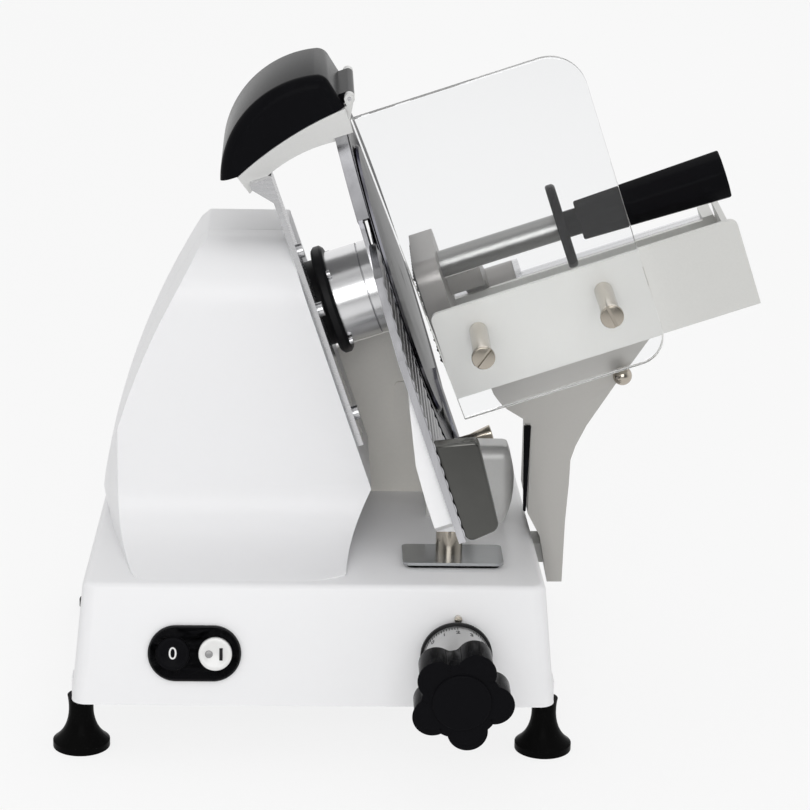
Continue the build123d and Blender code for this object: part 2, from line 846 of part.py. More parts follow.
strut_thickness = 4.0
strut_front_y = 104.0
strut_width = 22.0
strut_bottom_w = 165.0
strut_tuck = 5.0
strut_gusset_width = 11.0
strut_gusset_drop = 17.0
strut_bolt_y = strut_front_y + strut_width / 2
strut_bolt_shares = (0.102, 0.495, 0.714)
strut_bolt_radius = 5.0
strut_bolt_head = 3.5
bracket_left_u = 69.0
bracket_right_u = 151.0
bracket_over_ring = 5.5
bracket_fall = 22.0
bracket_bulge_share = 0.439
bracket_bulge = 3.84
bracket_drop = 13.0
bracket_step = 6.0
bracket_right_w = blade_axis_w + ring_outer_radius + bracket_over_ring
bracket_left_w = bracket_right_w - bracket_fall
bracket_middle_u = bracket_left_u + (bracket_right_u - bracket_left_u) * bracket_bulge_share
bracket_middle_w = bracket_left_w + bracket_fall * bracket_bulge_share + bracket_bulge
bracket_inner_right_w = bracket_right_w - bracket_drop - bracket_step
strut_top_w = bracket_left_w - strut_tuck
strut_gusset_u = tower_face_u - strut_gusset_width
strut_gusset_w = strut_top_w - strut_gusset_drop
strut_bolt_ws = [strut_bottom_w + (strut_top_w - strut_bottom_w) * share for share in strut_bolt_shares]
hinge_radius = 3.5
hinge_pin_radius = 1.5
hinge_reach = 4.5
hinge_rise = 4.0
hinge_u = bracket_right_u + hinge_reach
hinge_w = bracket_right_w + hinge_rise
ear_front_y = 118.0
ear_back_y = 198.0
ear_width = 8.0


def make_support_strut():
    low = tower_face_u + fit
    high = low + strut_thickness
    face = outline((low, strut_bottom_w), (high, strut_bottom_w), (high, strut_top_w),
                   (strut_gusset_u, strut_top_w),
                   (strut_gusset_u, strut_top_w - strut_thickness), (low, strut_gusset_w))
    return slab_uw(face, strut_front_y, strut_front_y + strut_width) - make_bracket_arm()


def bracket_top_arc(lift):
    return ThreePointArc((bracket_left_u, bracket_left_w + lift), (bracket_middle_u, bracket_middle_w + lift),
                         (bracket_right_u, bracket_right_w + lift))


def make_bracket_arm():
    low_left = (bracket_left_u + bracket_drop / 3, bracket_left_w - bracket_drop)
    low_right = (ring_back_u, bracket_inner_right_w)
    lower = ThreePointArc(low_left, (bracket_middle_u, bracket_middle_w - bracket_drop), low_right)
    sides = Polyline(low_right, (bracket_right_u, bracket_inner_right_w), (bracket_right_u, bracket_right_w))
    left = Line((bracket_left_u, bracket_left_w), low_left)
    face = make_face([bracket_top_arc(0).edge(), lower.edge(), left.edge(), *sides.edges()])
    arm = slab_uw(face, bracket_front_y, bracket_back_y)
    return arm - rod_u(ring_outer_radius, ring_back_u - gap, bracket_right_u + cut_over, blade_axis_y,
                       blade_axis_w)


def make_sharpener_bracket():
    """The arched arm from the strut over to the top of the ring, with two ears for the cover's hinge."""
    arm = make_bracket_arm()
    hinge_x, hinge_z = plane_point(hinge_u, hinge_w)
    root_u = bracket_right_u - hinge_radius
    ear = outline((root_u, bracket_right_w - 3 * hinge_radius),
                  (bracket_right_u, bracket_right_w - 3 * hinge_radius),
                  (hinge_u + hinge_radius, hinge_w), (hinge_u - hinge_radius + gap, hinge_w),
                  (hinge_u - hinge_radius + gap, bracket_right_w), (root_u, bracket_right_w - gap))
    for low in (ear_front_y, ear_back_y):
        arm = arm + slab_uw(ear, low, low + ear_width) + rod_y(hinge_radius, low, low + ear_width, hinge_x,
                                                               hinge_z)
    return arm - rod_y(hinge_pin_radius, bracket_front_y, bracket_back_y, hinge_x, hinge_z)


def make_hinge_pin():
    hinge_x, hinge_z = plane_point(hinge_u, hinge_w)
    return rod_y(hinge_pin_radius, ear_front_y, ear_back_y + ear_width, hinge_x, hinge_z)


cover_lift = 0.4
cover_wall = 3.0
cover_end_wall = 6.0
dome_lip = 12.0
dome_height = 51.5
dome_side_share = 0.134
dome_side_rise_share = 0.68
dome_crown_share = 0.74
dome_right_share = 0.927
dome_right_rise_share = 0.91
dome_round = 9.0
barrel_gap = 0.4


def make_sharpener_cover():
    """The domed cover, hinged at its right end."""
    span = bracket_right_u - bracket_left_u

    def on_dome(share, rise_share):
        return (bracket_left_u + span * share, bracket_left_w + dome_height * rise_share)

    left = (bracket_left_u - dome_lip, bracket_left_w + cover_lift)
    crown = on_dome(dome_crown_share, 1)
    top = Spline(left, on_dome(dome_side_share, dome_side_rise_share), crown)
    right = Polyline(crown, on_dome(dome_right_share, dome_right_rise_share),
                     (bracket_right_u, bracket_right_w + cover_lift))
    edge = Line(left, (bracket_left_u, bracket_left_w + cover_lift))
    face = make_face([top.edge(), *right.edges(), bracket_top_arc(cover_lift).edge(), edge.edge()])
    solid = slab_uw(face, bracket_front_y, bracket_back_y)
    crown_z = (U * crown[0] + W * crown[1]).Z
    domed = [edge for edge in solid.edges() if edge.length > span / 2 and edge.bounding_box().size.Y < fit
             and edge.bounding_box().max.Z > crown_z - fit]
    solid = fillet(domed, dome_round)
    core = slab_uw(face, bracket_front_y + cover_end_wall, bracket_back_y - cover_end_wall)
    core_left = core.moved(Location(U * -cover_wall - W * cover_wall))
    core_right = core.moved(Location(U * cover_wall - W * cover_wall))
    shell = solid - (core_left & core_right)
    hinge_x, hinge_z = plane_point(hinge_u, hinge_w)
    low = ear_front_y + ear_width + barrel_gap
    high = ear_back_y - barrel_gap
    low_w = hinge_w - hinge_radius + gap
    link = outline((bracket_right_u - cover_wall / 2, low_w), (hinge_u, low_w),
                   (hinge_u, hinge_w + hinge_radius),
                   (bracket_right_u - cover_wall, hinge_w + hinge_radius))
    shell = shell + slab_uw(link, low, high) + rod_y(hinge_radius, low, high, hinge_x, hinge_z)
    return shell - rod_y(hinge_pin_radius + fit, bracket_front_y, bracket_back_y, hinge_x, hinge_z)


sharpener_left_u = 92.0
sharpener_right_u = 128.0
sharpener_front_y = 136.0
sharpener_back_y = 194.0
sharpener_height = 12.0
stone_radius = 10.5
stone_start_u = 132.0
stone_width = 6.0
stone_rise = 10.5
stone_inset = 14.0
stone_pin_radius = 3.0
stone_cap_width = 1.5
stone_cap_radius = 5.0
stone_play = 0.3
sharpener_top_w = bracket_right_w + sharpener_height
stone_w = bracket_right_w + stone_rise
stone_ys = (sharpener_front_y + stone_inset, sharpener_back_y - stone_inset)


def make_sharpener_body():
    """The block under the cover, with a spindle for each stone."""
    face = make_face([bracket_top_arc(0).edge(),
                      *Polyline((bracket_right_u, bracket_right_w), (bracket_right_u, sharpener_top_w),
                                (bracket_left_u, sharpener_top_w), (bracket_left_u, bracket_left_w)).edges()])
    block = slab_uw(face, sharpener_front_y, sharpener_back_y)
    keep = slab_uw(box_face(sharpener_left_u, sharpener_right_u, 0, sharpener_top_w), 0, base_depth)
    block = block & keep
    cap_u = stone_start_u + stone_width + stone_play
    for y in stone_ys:
        block = block + rod_u(stone_pin_radius, sharpener_right_u - cut_over, cap_u, y, stone_w)
        block = block + rod_u(stone_cap_radius, cap_u, cap_u + stone_cap_width, y, stone_w)
    return block


def make_sharpener_stone(index):
    return rod_u(stone_radius, stone_start_u, stone_start_u + stone_width, stone_ys[index], stone_w,
                 stone_pin_radius + fit)


# Thickness gauge

gauge_back_u = cut_u - gauge_thickness
gauge_side_w = 260.0
gauge_bevel_y = -5.0
gauge_bevel_w = 304.0
gauge_lead_y = 40.0
gauge_corner_radius = 8.0
gauge_rib_height = 0.8
gauge_rib_pitch = 8.7
gauge_rib_width = 4.0
rail_bottom_w = 131.5
rail_left_u = cut_u
rail_right_u = 174.0
rail_low_right_u = 169.0
rail_crown_w = 200.8
rail_crown_u = 157.0
rail_shoulder_u = 163.5
rail_shoulder_w = 198.6
rail_slope_w = 134.0
rail_bevel = 2.0


def make_gauge_plate():
    """The ribbed plate that the food slides along, with the thick block at its front corner."""
    def on_arc(w):
        reach = math.sqrt(gauge_arc_radius ** 2 - (blade_axis_w - w) ** 2)
        return (blade_axis_y - reach, w)
    arc = ThreePointArc(on_arc(gauge_top_w), (blade_axis_y - gauge_arc_radius, blade_axis_w),
                        on_arc(gauge_bottom_w))
    rest = Polyline(on_arc(gauge_bottom_w), (gauge_front_y, gauge_bottom_w), (gauge_front_y, gauge_side_w),
                    (gauge_bevel_y, gauge_bevel_w), (gauge_lead_y, gauge_top_w), on_arc(gauge_top_w))
    face = make_face([arc.edge(), *rest.edges()])
    corners = face.vertices().filter_by(lambda v: v.X < gauge_bevel_y + cut_over)
    face = fillet(corners, gauge_corner_radius)
    plate = slab_yw(face, gauge_back_u, cut_u - gauge_rib_height)
    count = int((gauge_top_w - gauge_bottom_w) / gauge_rib_pitch)
    for index in range(count):
        low = gauge_bottom_w + gauge_rib_pitch * (index + 0.5)
        rib = box_face(gauge_front_y, blade_axis_y, low, low + gauge_rib_width) & face
        plate = plate + slab_yw(rib, cut_u - gauge_rib_height, cut_u)
    left_u = rail_left_u - gauge_rib_height
    rail = outline((left_u, gauge_bottom_w), (left_u, rail_crown_w - rail_bevel),
                   (left_u + rail_bevel, rail_crown_w),
                   (rail_crown_u, rail_crown_w), (rail_shoulder_u, rail_shoulder_w),
                   (rail_right_u, rail_top_w),
                   (rail_low_right_u, rail_slope_w), (rail_low_right_u - rail_bevel * 2, rail_bottom_w),
                   (rail_left_u + rail_bevel, rail_bottom_w))
    return plate + slab_uw(rail, gauge_front_y, gauge_front_y + rail_depth)


carrier_bottom_w = 85.0
carrier_cut_radius = 135.0
carrier_front_y = -40.0
carrier_top_w = 232.0
carrier_top_u = 139.0
carrier_points = ((131.0, 190.0), (129.6, 165.0), (129.5, 145.0), (123.5, 112.0), (121.0, 98.0))
carrier_low_u = 139.0
carrier_front_low_w = 146.0
carrier_heel_y = 60.0
carrier_heel_w = 106.0


def make_gauge_carrier():
    """The light casting behind the gauge plate."""
    face = outline((gauge_back_u, gauge_bottom_w), (gauge_back_u, carrier_top_w),
                   (carrier_top_u, carrier_top_w - rail_bevel * 2), *carrier_points,
                   (carrier_points[-1][0], carrier_bottom_w), (carrier_low_u, carrier_bottom_w),
                   (carrier_low_u, gauge_bottom_w))
    body = slab_uw(face, carrier_front_y, carrier_back_y)
    body = body - rod_u(carrier_cut_radius, shaft_end_u, cut_u + cut_over, blade_axis_y, blade_axis_w)
    side = outline((carrier_front_y, carrier_front_low_w), (carrier_heel_y, carrier_heel_w),
                   (carrier_heel_y, carrier_bottom_w), (carrier_back_y, carrier_bottom_w),
                   (carrier_back_y, carrier_top_w), (carrier_front_y, carrier_top_w))
    body = body & slab_yw(side, shaft_end_u, cut_u)
    return body & box(-base_half_width, base_half_width, -base_depth, base_depth, post_top_z, tower_top_z)


slot_cover_length = 67.5
slot_cover_width = 35.0
slot_cover_thickness = 2.0
slot_gasket_length = 62.0
slot_gasket_width = 32.0
slot_cover_shift_x = 2.1
slot_cover_shift_y = -6.4
slot_corner_radius = 4.0
slider_left_x = 70.0
slider_right_x = 112.0
slider_front_y = 60.5
slider_back_y = 96.0
slider_bottom_z = 82.0
slider_top_z = 106.0
leg_left_x = 80.0
leg_right_x = 91.0
leg_back_y = 70.0
leg_bottom_z = 69.0
follower_x = 85.5
follower_radius = 2.0
cam_front_y = 54.0
cam_back_y = 60.0
cam_radius = 28.0
groove_depth = 3.0
groove_play = 0.3
groove_steps = 48
groove_run_out = 5
knob_turn = 330.0


def make_gauge_post():
    return rod_z(post_radius, slider_top_z, post_top_z, post_x, post_y)


def slot_plate(length, width, low, high):
    centre = Pos(post_x + slot_cover_shift_x, post_y + slot_cover_shift_y)
    face = centre * RectangleRounded(length, width, slot_corner_radius)
    face = face - Pos(post_x, post_y) * Circle(post_radius)
    return slab_xy(face, low, high)


def make_slot_gasket():
    return slot_plate(slot_gasket_length, slot_gasket_width, deck_z + gap,
                      deck_z + gap + slot_cover_thickness)


def make_slot_cover():
    low = deck_z + gap + slot_cover_thickness
    return slot_plate(slot_cover_length, slot_cover_width, low, low + slot_cover_thickness)


def make_gauge_slider():
    """The block under the deck that slides on the rod and follows the cam."""
    block = box(slider_left_x, slider_right_x, slider_front_y, slider_back_y, slider_bottom_z, slider_top_z)
    leg = box(leg_left_x, leg_right_x, slider_front_y, leg_back_y, leg_bottom_z, slider_bottom_z)
    pin = rod_y(follower_radius, cam_back_y - groove_depth + groove_play, slider_front_y, follower_x, knob_z)
    bore = rod_x(gauge_rod_radius + fit, slider_left_x - cut_over, slider_right_x + cut_over, gauge_rod_y,
                 gauge_rod_z)
    return block + leg + pin - bore


def make_gauge_rod():
    return rod_x(gauge_rod_radius, gauge_rod_left, gauge_rod_right, gauge_rod_y, gauge_rod_z)


# Thickness knob, with its dial drum, shaft and cam

lobe_count = 5
lobe_reach = 21.0
lobe_radius = 11.5
lobe_core_radius = 24.0
lobe_first_angle = -6.5
knob_face_radius = 19.0
knob_face_rise = 2.0
drum_radius = 22.0
drum_rim_radius = 23.5
drum_rim_width = 3.0
index_pin_x = 94.6
index_pin_up = 59.0
index_pin_radius = 2.5
index_pin_length = 6.0


def make_thickness_knob():
    """The five-lobed knob."""
    face = Circle(lobe_core_radius)
    for index in range(lobe_count):
        angle = math.radians(lobe_first_angle + 360 * index / lobe_count)
        face = face + Pos(lobe_reach * math.cos(angle), lobe_reach * math.sin(angle)) * Circle(lobe_radius)
    body = slab_xz(Pos(knob_x, knob_z) * face, knob_front_y + knob_face_rise, knob_back_y)
    cap = rod_y(knob_face_radius, knob_front_y, knob_front_y + knob_face_rise, knob_x, knob_z)
    return body + cap


def make_dial_drum():
    return turned_y(knob_x, knob_z,
                    [(knob_shaft_radius, knob_back_y), (drum_radius, knob_back_y),
                     (drum_radius, drum_back_y - drum_rim_width),
                     (drum_rim_radius, drum_back_y - drum_rim_width),
                     (drum_rim_radius, drum_back_y), (knob_shaft_radius, drum_back_y)])


def make_knob_shaft():
    return rod_y(knob_shaft_radius, knob_back_y, cam_front_y, knob_x, knob_z)


def make_cam_disc():
    """The disc whose spiral groove moves the gauge."""
    disc = rod_y(cam_radius, cam_front_y, cam_back_y, knob_x, knob_z)
    start = knob_x - follower_x
    steps = groove_steps
    points = []
    for index in range(-groove_run_out, steps + groove_run_out + 1):
        share = index / steps
        radius = start + gauge_travel * share
        angle = math.radians(180 - knob_turn * share)
        points.append((knob_x + radius * math.cos(angle), knob_z + radius * math.sin(angle)))
    half = follower_radius + groove_play
    inner = []
    outer = []
    for index, (x, z) in enumerate(points):
        before = points[max(index - 1, 0)]
        after = points[min(index + 1, len(points) - 1)]
        along = Vector(after[0] - before[0], after[1] - before[1]).normalized()
        inner.append((x - along.Y * half, z + along.X * half))
        outer.append((x + along.Y * half, z - along.X * half))
    groove = slab_xz(outline(*inner, *reversed(outer)), cam_back_y - groove_depth, cam_back_y + cut_over)
    return disc - groove


def make_index_pin():
    return on_panel(Pos(index_pin_x, index_pin_up) * Circle(index_pin_radius), 0, index_pin_length)


# Switch

bezel_thickness = 2.5
bezel_collar_depth = 8.0
stop_x = -92.8
start_x = -64.9
button_radius = 11.0
button_front = 5.5
button_back = -4.0
switch_box_depth = 30.0
switch_box_length = 52.0
switch_box_height = 27.0
switch_box_radius = 3.0


def make_switch_bezel():
    """The black oval plate with a collar through the panel."""
    plate = on_panel(Pos(switch_x, switch_up) * SlotOverall(switch_length, switch_height), 0, bezel_thickness)
    length = switch_length - 2 * switch_hole_margin - 2 * gap
    height = switch_height - 2 * switch_hole_margin - 2 * gap
    plate = plate + on_panel(Pos(switch_x, switch_up) * SlotOverall(length, height), -bezel_collar_depth, 0)
    for x in (stop_x, start_x):
        plate = plate - on_panel(Pos(x, switch_up) * Circle(button_radius + gap), -2 * bezel_collar_depth,
                                 cut_over)
    return plate


def make_button(x):
    return on_panel(Pos(x, switch_up) * Circle(button_radius), button_back, button_front)


def make_switch_box():
    face = Pos(switch_x, switch_up) * RectangleRounded(switch_box_length, switch_box_height,
                                                       switch_box_radius)
    return on_panel(face, -bezel_collar_depth - switch_box_depth, -bezel_collar_depth)


# Power inlet in the rear wall

inlet_flange = 3.0
inlet_flange_thickness = 2.0
inlet_depth = 20.0
pin_hole_radius = 2.5
pin_pitch = 7.0


def make_power_inlet():
    centre = Pos(-inlet_x, inlet_z - foot_height)
    body = on_rear(centre * Rectangle(inlet_width - 2 * gap, inlet_height - 2 * gap), -inlet_depth, 0)
    body = body + on_rear(centre * Rectangle(inlet_width + 2 * inlet_flange, inlet_height + 2 * inlet_flange),
                          0, inlet_flange_thickness)
    for shift, lift in ((-pin_pitch, 0), (0, pin_pitch / 2), (pin_pitch, 0)):
        hole = centre * Pos(shift, lift) * Circle(pin_hole_radius)
        body = body - on_rear(hole, -inlet_depth / 2, inlet_flange_thickness + cut_over)
    return body


# Carriage: slide block, arm, food tray and clear guard

block_length = 30.0
block_half_width = 10.0
block_half_height = 13.0
block_clearance = 1.5
neck_right_x = 157.0
neck_bottom_z = 90.0
neck_top_z = 104.0
block_reach_y = neck_front_y + neck_width / 2 + block_length / 2 + carriage_back
block_right_x = base_x(block_reach_y, slide_rod_z + block_half_height) - base_wall - block_clearance
arm_inner_points = ((120.0, 221.0), (124.5, 215.0), (129.4, 210.0), (141.0, 203.0), (146.0, 184.0),
                    (146.0, 135.0), (155.0, 118.0), (161.0, 84.6))
arm_outer_points = ((171.3, 84.7), (172.0, 129.5), (173.6, 157.0), (174.0, 174.0), (177.0, 184.0),
                    (184.0, 199.0), (202.0, 228.0), (224.0, 262.0))
arm_pocket_points = ((134.0, 215.0), (148.0, 207.0), (152.5, 185.0), (152.5, 137.0), (160.0, 122.0),
                     (166.0, 122.0),
                     (166.0, 130.0), (167.6, 157.0), (168.0, 175.0), (171.5, 187.0), (179.0, 202.5),
                     (197.0, 231.5))
arm_top_left_u = 183.0
arm_top_right_u = 316.0
arm_top_wall = 6.0
arm_top_margin = 18.0


def arm_face():
    corners = [plane_point(arm_top_left_u, tray_bottom_w), *arm_inner_points, *arm_outer_points,
               plane_point(arm_top_right_u, tray_bottom_w)]
    return outline(*corners)


def make_carriage_arm():
    """The upright arm, hollow from behind, under the food tray."""
    body = slab_xz(arm_face(), arm_front_y, arm_front_y + arm_width)
    pocket_w = tray_bottom_w - arm_top_wall
    pocket = outline(plane_point(arm_top_left_u + arm_top_margin, pocket_w), *arm_pocket_points,
                     plane_point(arm_top_right_u - 2 * arm_top_margin, pocket_w))
    body = body - slab_xz(pocket, arm_front_y + arm_wall, arm_front_y + arm_width + cut_over)
    low = arm_front_y - cut_over
    high = arm_front_y + arm_wall + cut_over
    return body - rod_y(lock_pin_radius + fit, low, high, lock_x, lock_z)


def make_slide_block():
    """The block on the guide rod, with a neck through the side slot to the arm."""
    front = neck_front_y + neck_width / 2 - block_length / 2
    block = box(slide_rod_x - block_half_width, block_right_x, front, front + block_length,
                slide_rod_z - block_half_height, slide_rod_z + block_half_height)
    neck = box(block_right_x, neck_right_x, neck_front_y, neck_front_y + neck_width, neck_bottom_z,
               neck_top_z)
    neck = neck + (box(neck_right_x, base_half_width + cut_over, neck_front_y, neck_front_y + neck_width,
                       neck_bottom_z, neck_top_z)
                   - slab_xz(arm_face(), 0, base_depth))
    block = block + neck
    return block - rod_y(slide_rod_radius + fit, front - cut_over, front + block_length + cut_over,
                         slide_rod_x, slide_rod_z)


def make_slide_rod():
    return rod_y(slide_rod_radius, rod_boss_front_y - rod_seat_depth, rod_boss_back_y + rod_seat_depth,
                 slide_rod_x, slide_rod_z)


tray_corner_radius = 5.0
tray_rear_top_w = 215.0
tray_end_top_w = 228.0
lug_thickness = 8.0
lug_left_u = 168.0
lug_right_u = 358.0
lug_radius = 12.0


def make_food_tray():
    """The channel that holds the food, with two lugs for the press rail."""
    floor = slab_uw(box_face(tray_left_u, tray_right_u, tray_bottom_w, tray_bottom_w + tray_wall),
                    tray_front_y, tray_back_y)
    corners = RectangleRounded(tray_right_u - tray_left_u, tray_top_w - tray_bottom_w, tray_corner_radius)
    centre = Pos((tray_left_u + tray_right_u) / 2, (tray_bottom_w + tray_top_w) / 2)
    tray = floor + slab_uw(centre * corners, tray_front_y, tray_front_y + tray_wall)
    tray = tray + slab_uw(box_face(tray_left_u, tray_right_u, tray_bottom_w, tray_rear_top_w),
                          tray_back_y - tray_wall, tray_back_y)
    tray = tray + slab_uw(box_face(tray_right_u - tray_wall, tray_right_u, tray_bottom_w, tray_end_top_w),
                          tray_front_y, tray_back_y)
    for low in (lug_left_u, lug_right_u):
        lug = box_face(tray_back_y - tray_wall, rail_y, rail_w - rail_radius / 2, rail_w + lug_radius)
        lug = lug + Pos(rail_y, rail_w) * Circle(lug_radius)
        tray = tray + slab_yw(lug, low, low + lug_thickness)
    return tray - rod_u(rail_radius, tray_left_u, tray_right_u, rail_y, rail_w)


def make_press_rail():
    return rod_u(rail_radius, lug_left_u, lug_right_u + lug_thickness, rail_y, rail_w)


spacer_places = ((192.0, 239.5), (276.5, 240.0))
spacer_radius = 6.0
guard_screw_radius = 7.5
guard_screw_head = 3.0
guard_screw_shank = 3.0
guard_top_radius = 24.0
guard_bottom_radius = 18.0


def make_tray_guard():
    """The clear shield in front of the food."""
    corners = [(guard_left_top_u, guard_top_w), (guard_right_u, guard_top_w), (guard_right_u, guard_bottom_w),
               (guard_left_bottom_u, guard_bottom_w)]
    face = outline(*corners)
    right = face.vertices().sort_by(Axis.X)[-2:].sort_by(Axis.Y)
    face = fillet(right[1], guard_top_radius)
    right = face.vertices().filter_by(lambda v: v.Y < guard_bottom_w + fit).sort_by(Axis.X)[-1]
    face = fillet(right, guard_bottom_radius)
    for u, w in spacer_places:
        face = face - Pos(u, w) * Circle(guard_screw_shank)
    return slab_uw(face, guard_front_y, guard_front_y + guard_thickness)


def make_guard_spacers():
    """The two sleeves between the guard and the tray."""
    spacers = []
    for u, w in spacer_places:
        x, z = plane_point(u, w)
        spacers.append(rod_y(spacer_radius, guard_front_y + guard_thickness, tray_front_y, x, z,
                             guard_screw_shank))
    return spacers


def make_guard_screws():
    screws = []
    for u, w in spacer_places:
        x, z = plane_point(u, w)
        screws.append(rod_y(guard_screw_radius, guard_front_y - guard_screw_head, guard_front_y, x, z)
                      + rod_y(guard_screw_shank, guard_front_y, tray_front_y, x, z))
    return screws


lock_u = 272.0
lock_w = 158.0
lock_x, lock_z = plane_point(lock_u, lock_w)
lock_ball_radius = 6.5
lock_pin_radius = 2.5
lock_stem = 3.0


def make_tray_lock():
    """The ball knob that locks the tray to its arm."""
    ball_y = arm_front_y - lock_stem - lock_ball_radius
    ball = Pos(lock_x, ball_y, lock_z) * Sphere(lock_ball_radius)
    return ball + rod_y(lock_pin_radius, ball_y, arm_front_y + arm_wall, lock_x, lock_z)


# Food press

sleeve_left_u = 186.0
sleeve_right_u = 226.0
sleeve_radius = 12.0
sleeve_flange_width = 4.0
press_hub_radius = 16.5
head_corner_radius = 14.0
head_lower_radius = 10.0
arm_top_drop = 29.0
arm_low_drop = 42.0
handle_radius = 9.0
shield_radius = 29.0
shield_start_u = 260.0
shield_thickness = 6.6
grip_start_u = 275.0
grip_end_u = 377.0
grip_small_radius = 14.0
grip_large_radius = 17.0
grip_sides = 10
sleeve_play = 0.3
press_play = 1.5


def make_press_sleeve():
    """The sleeve that slides on the rail and carries the press."""
    tube = rod_u(sleeve_radius, sleeve_left_u, sleeve_right_u, rail_y, rail_w)
    tube = tube + rod_u(press_hub_radius, sleeve_right_u - sleeve_flange_width, sleeve_right_u, rail_y,
                        rail_w)
    return tube - rod_u(rail_radius + fit, sleeve_left_u - cut_over, sleeve_right_u + cut_over, rail_y,
                        rail_w)


def head_face():
    low = head_bottom_w
    face = box_face(head_front_y, head_front_y + head_width, low, head_top_w)
    tops = face.vertices().filter_by(lambda v: v.Y > head_top_w - fit)
    face = fillet(tops, head_corner_radius)
    bottoms = face.vertices().filter_by(lambda v: v.Y < low + fit)
    return fillet(bottoms, head_lower_radius)


def make_press_head():
    """The plate that pushes the food, with the arm and hub that swing on the sleeve."""
    plate = slab_yw(head_face(), head_left_u, head_left_u + head_thickness)
    hub_left = sleeve_left_u
    hub_right = sleeve_right_u - sleeve_flange_width - sleeve_play
    hub = rod_u(press_hub_radius, hub_left, hub_right, rail_y, rail_w)
    back_y = head_front_y + head_width
    arm = outline((back_y - head_corner_radius, head_top_w - arm_low_drop),
                  (back_y - head_corner_radius, head_top_w - arm_top_drop),
                  (rail_y + press_hub_radius * 0.7, rail_w + press_hub_radius * 0.7),
                  (rail_y, rail_w), (rail_y - press_hub_radius * 0.9, rail_w + press_hub_radius * 0.44))
    web = slab_yw(arm, hub_left, hub_left + head_thickness)
    bridge = box_face(handle_y + handle_radius + press_play, back_y - press_play,
                      head_top_w - arm_low_drop, head_top_w - arm_top_drop)
    bridge = slab_yw(bridge, head_left_u + head_thickness, hub_left + head_thickness)
    body = plate + bridge + web + hub
    body = body - rod_u(sleeve_radius + fit, hub_left - cut_over, hub_right + cut_over, rail_y, rail_w)
    return body


def make_handle_rod():
    start = head_left_u + head_thickness
    return (rod_u(handle_radius, start, shield_start_u, handle_y, handle_w)
            + rod_u(handle_radius / 2, shield_start_u, grip_end_u - handle_radius, handle_y, handle_w))


def make_hand_shield():
    end_u = shield_start_u + shield_thickness
    return rod_u(shield_radius, shield_start_u, end_u, handle_y, handle_w, handle_radius / 2)


def make_handle_grip():
    """The faceted grip, wider at its end."""
    start = Plane(tilted(grip_start_u, handle_y, handle_w), x_dir=(0, 1, 0), z_dir=U)
    end = Plane(tilted(grip_end_u, handle_y, handle_w), x_dir=(0, 1, 0), z_dir=U)
    small = start * RegularPolygon(grip_small_radius, grip_sides)
    large = end * RegularPolygon(grip_large_radius, grip_sides)
    grip = loft([small, large])
    collar = rod_u(handle_radius, shield_start_u + shield_thickness, grip_start_u, handle_y, handle_w)
    whole = grip + collar
    return whole - rod_u(handle_radius / 2, shield_start_u, grip_end_u - handle_radius, handle_y, handle_w)


# Screws of the body

rear_screw_shares = ((0.767, 0.112), (0.4, 0.888), (-0.1, 0.112), (0.233, 0.888))
rear_screw_radius = 3.5
rear_screw_head = 2.5


def make_body_screws():
    """The screws of the rear cover and the hub flange, and the bolts of the strut."""
    screws = []
    for left_share, up_share in rear_screw_shares:
        x = tower_left_x * left_share
        z = deck_z + tower_height * up_share
        screws.append(rod_y(rear_screw_radius, tower_back_y, tower_back_y + rear_screw_head, x, z))
    for index in range(flange_screw_count):
        y, w = flange_screw_place(index)
        screws.append(rod_u(flange_screw_radius, flange_end_u, flange_end_u + flange_screw_head, y, w))
    start = tower_face_u + fit + strut_thickness
    for w in strut_bolt_ws:
        screws.append(rod_u(strut_bolt_radius, start, start + strut_bolt_head, strut_bolt_y, w))
    return screws


# All pieces, centred on the outline of the whole machine

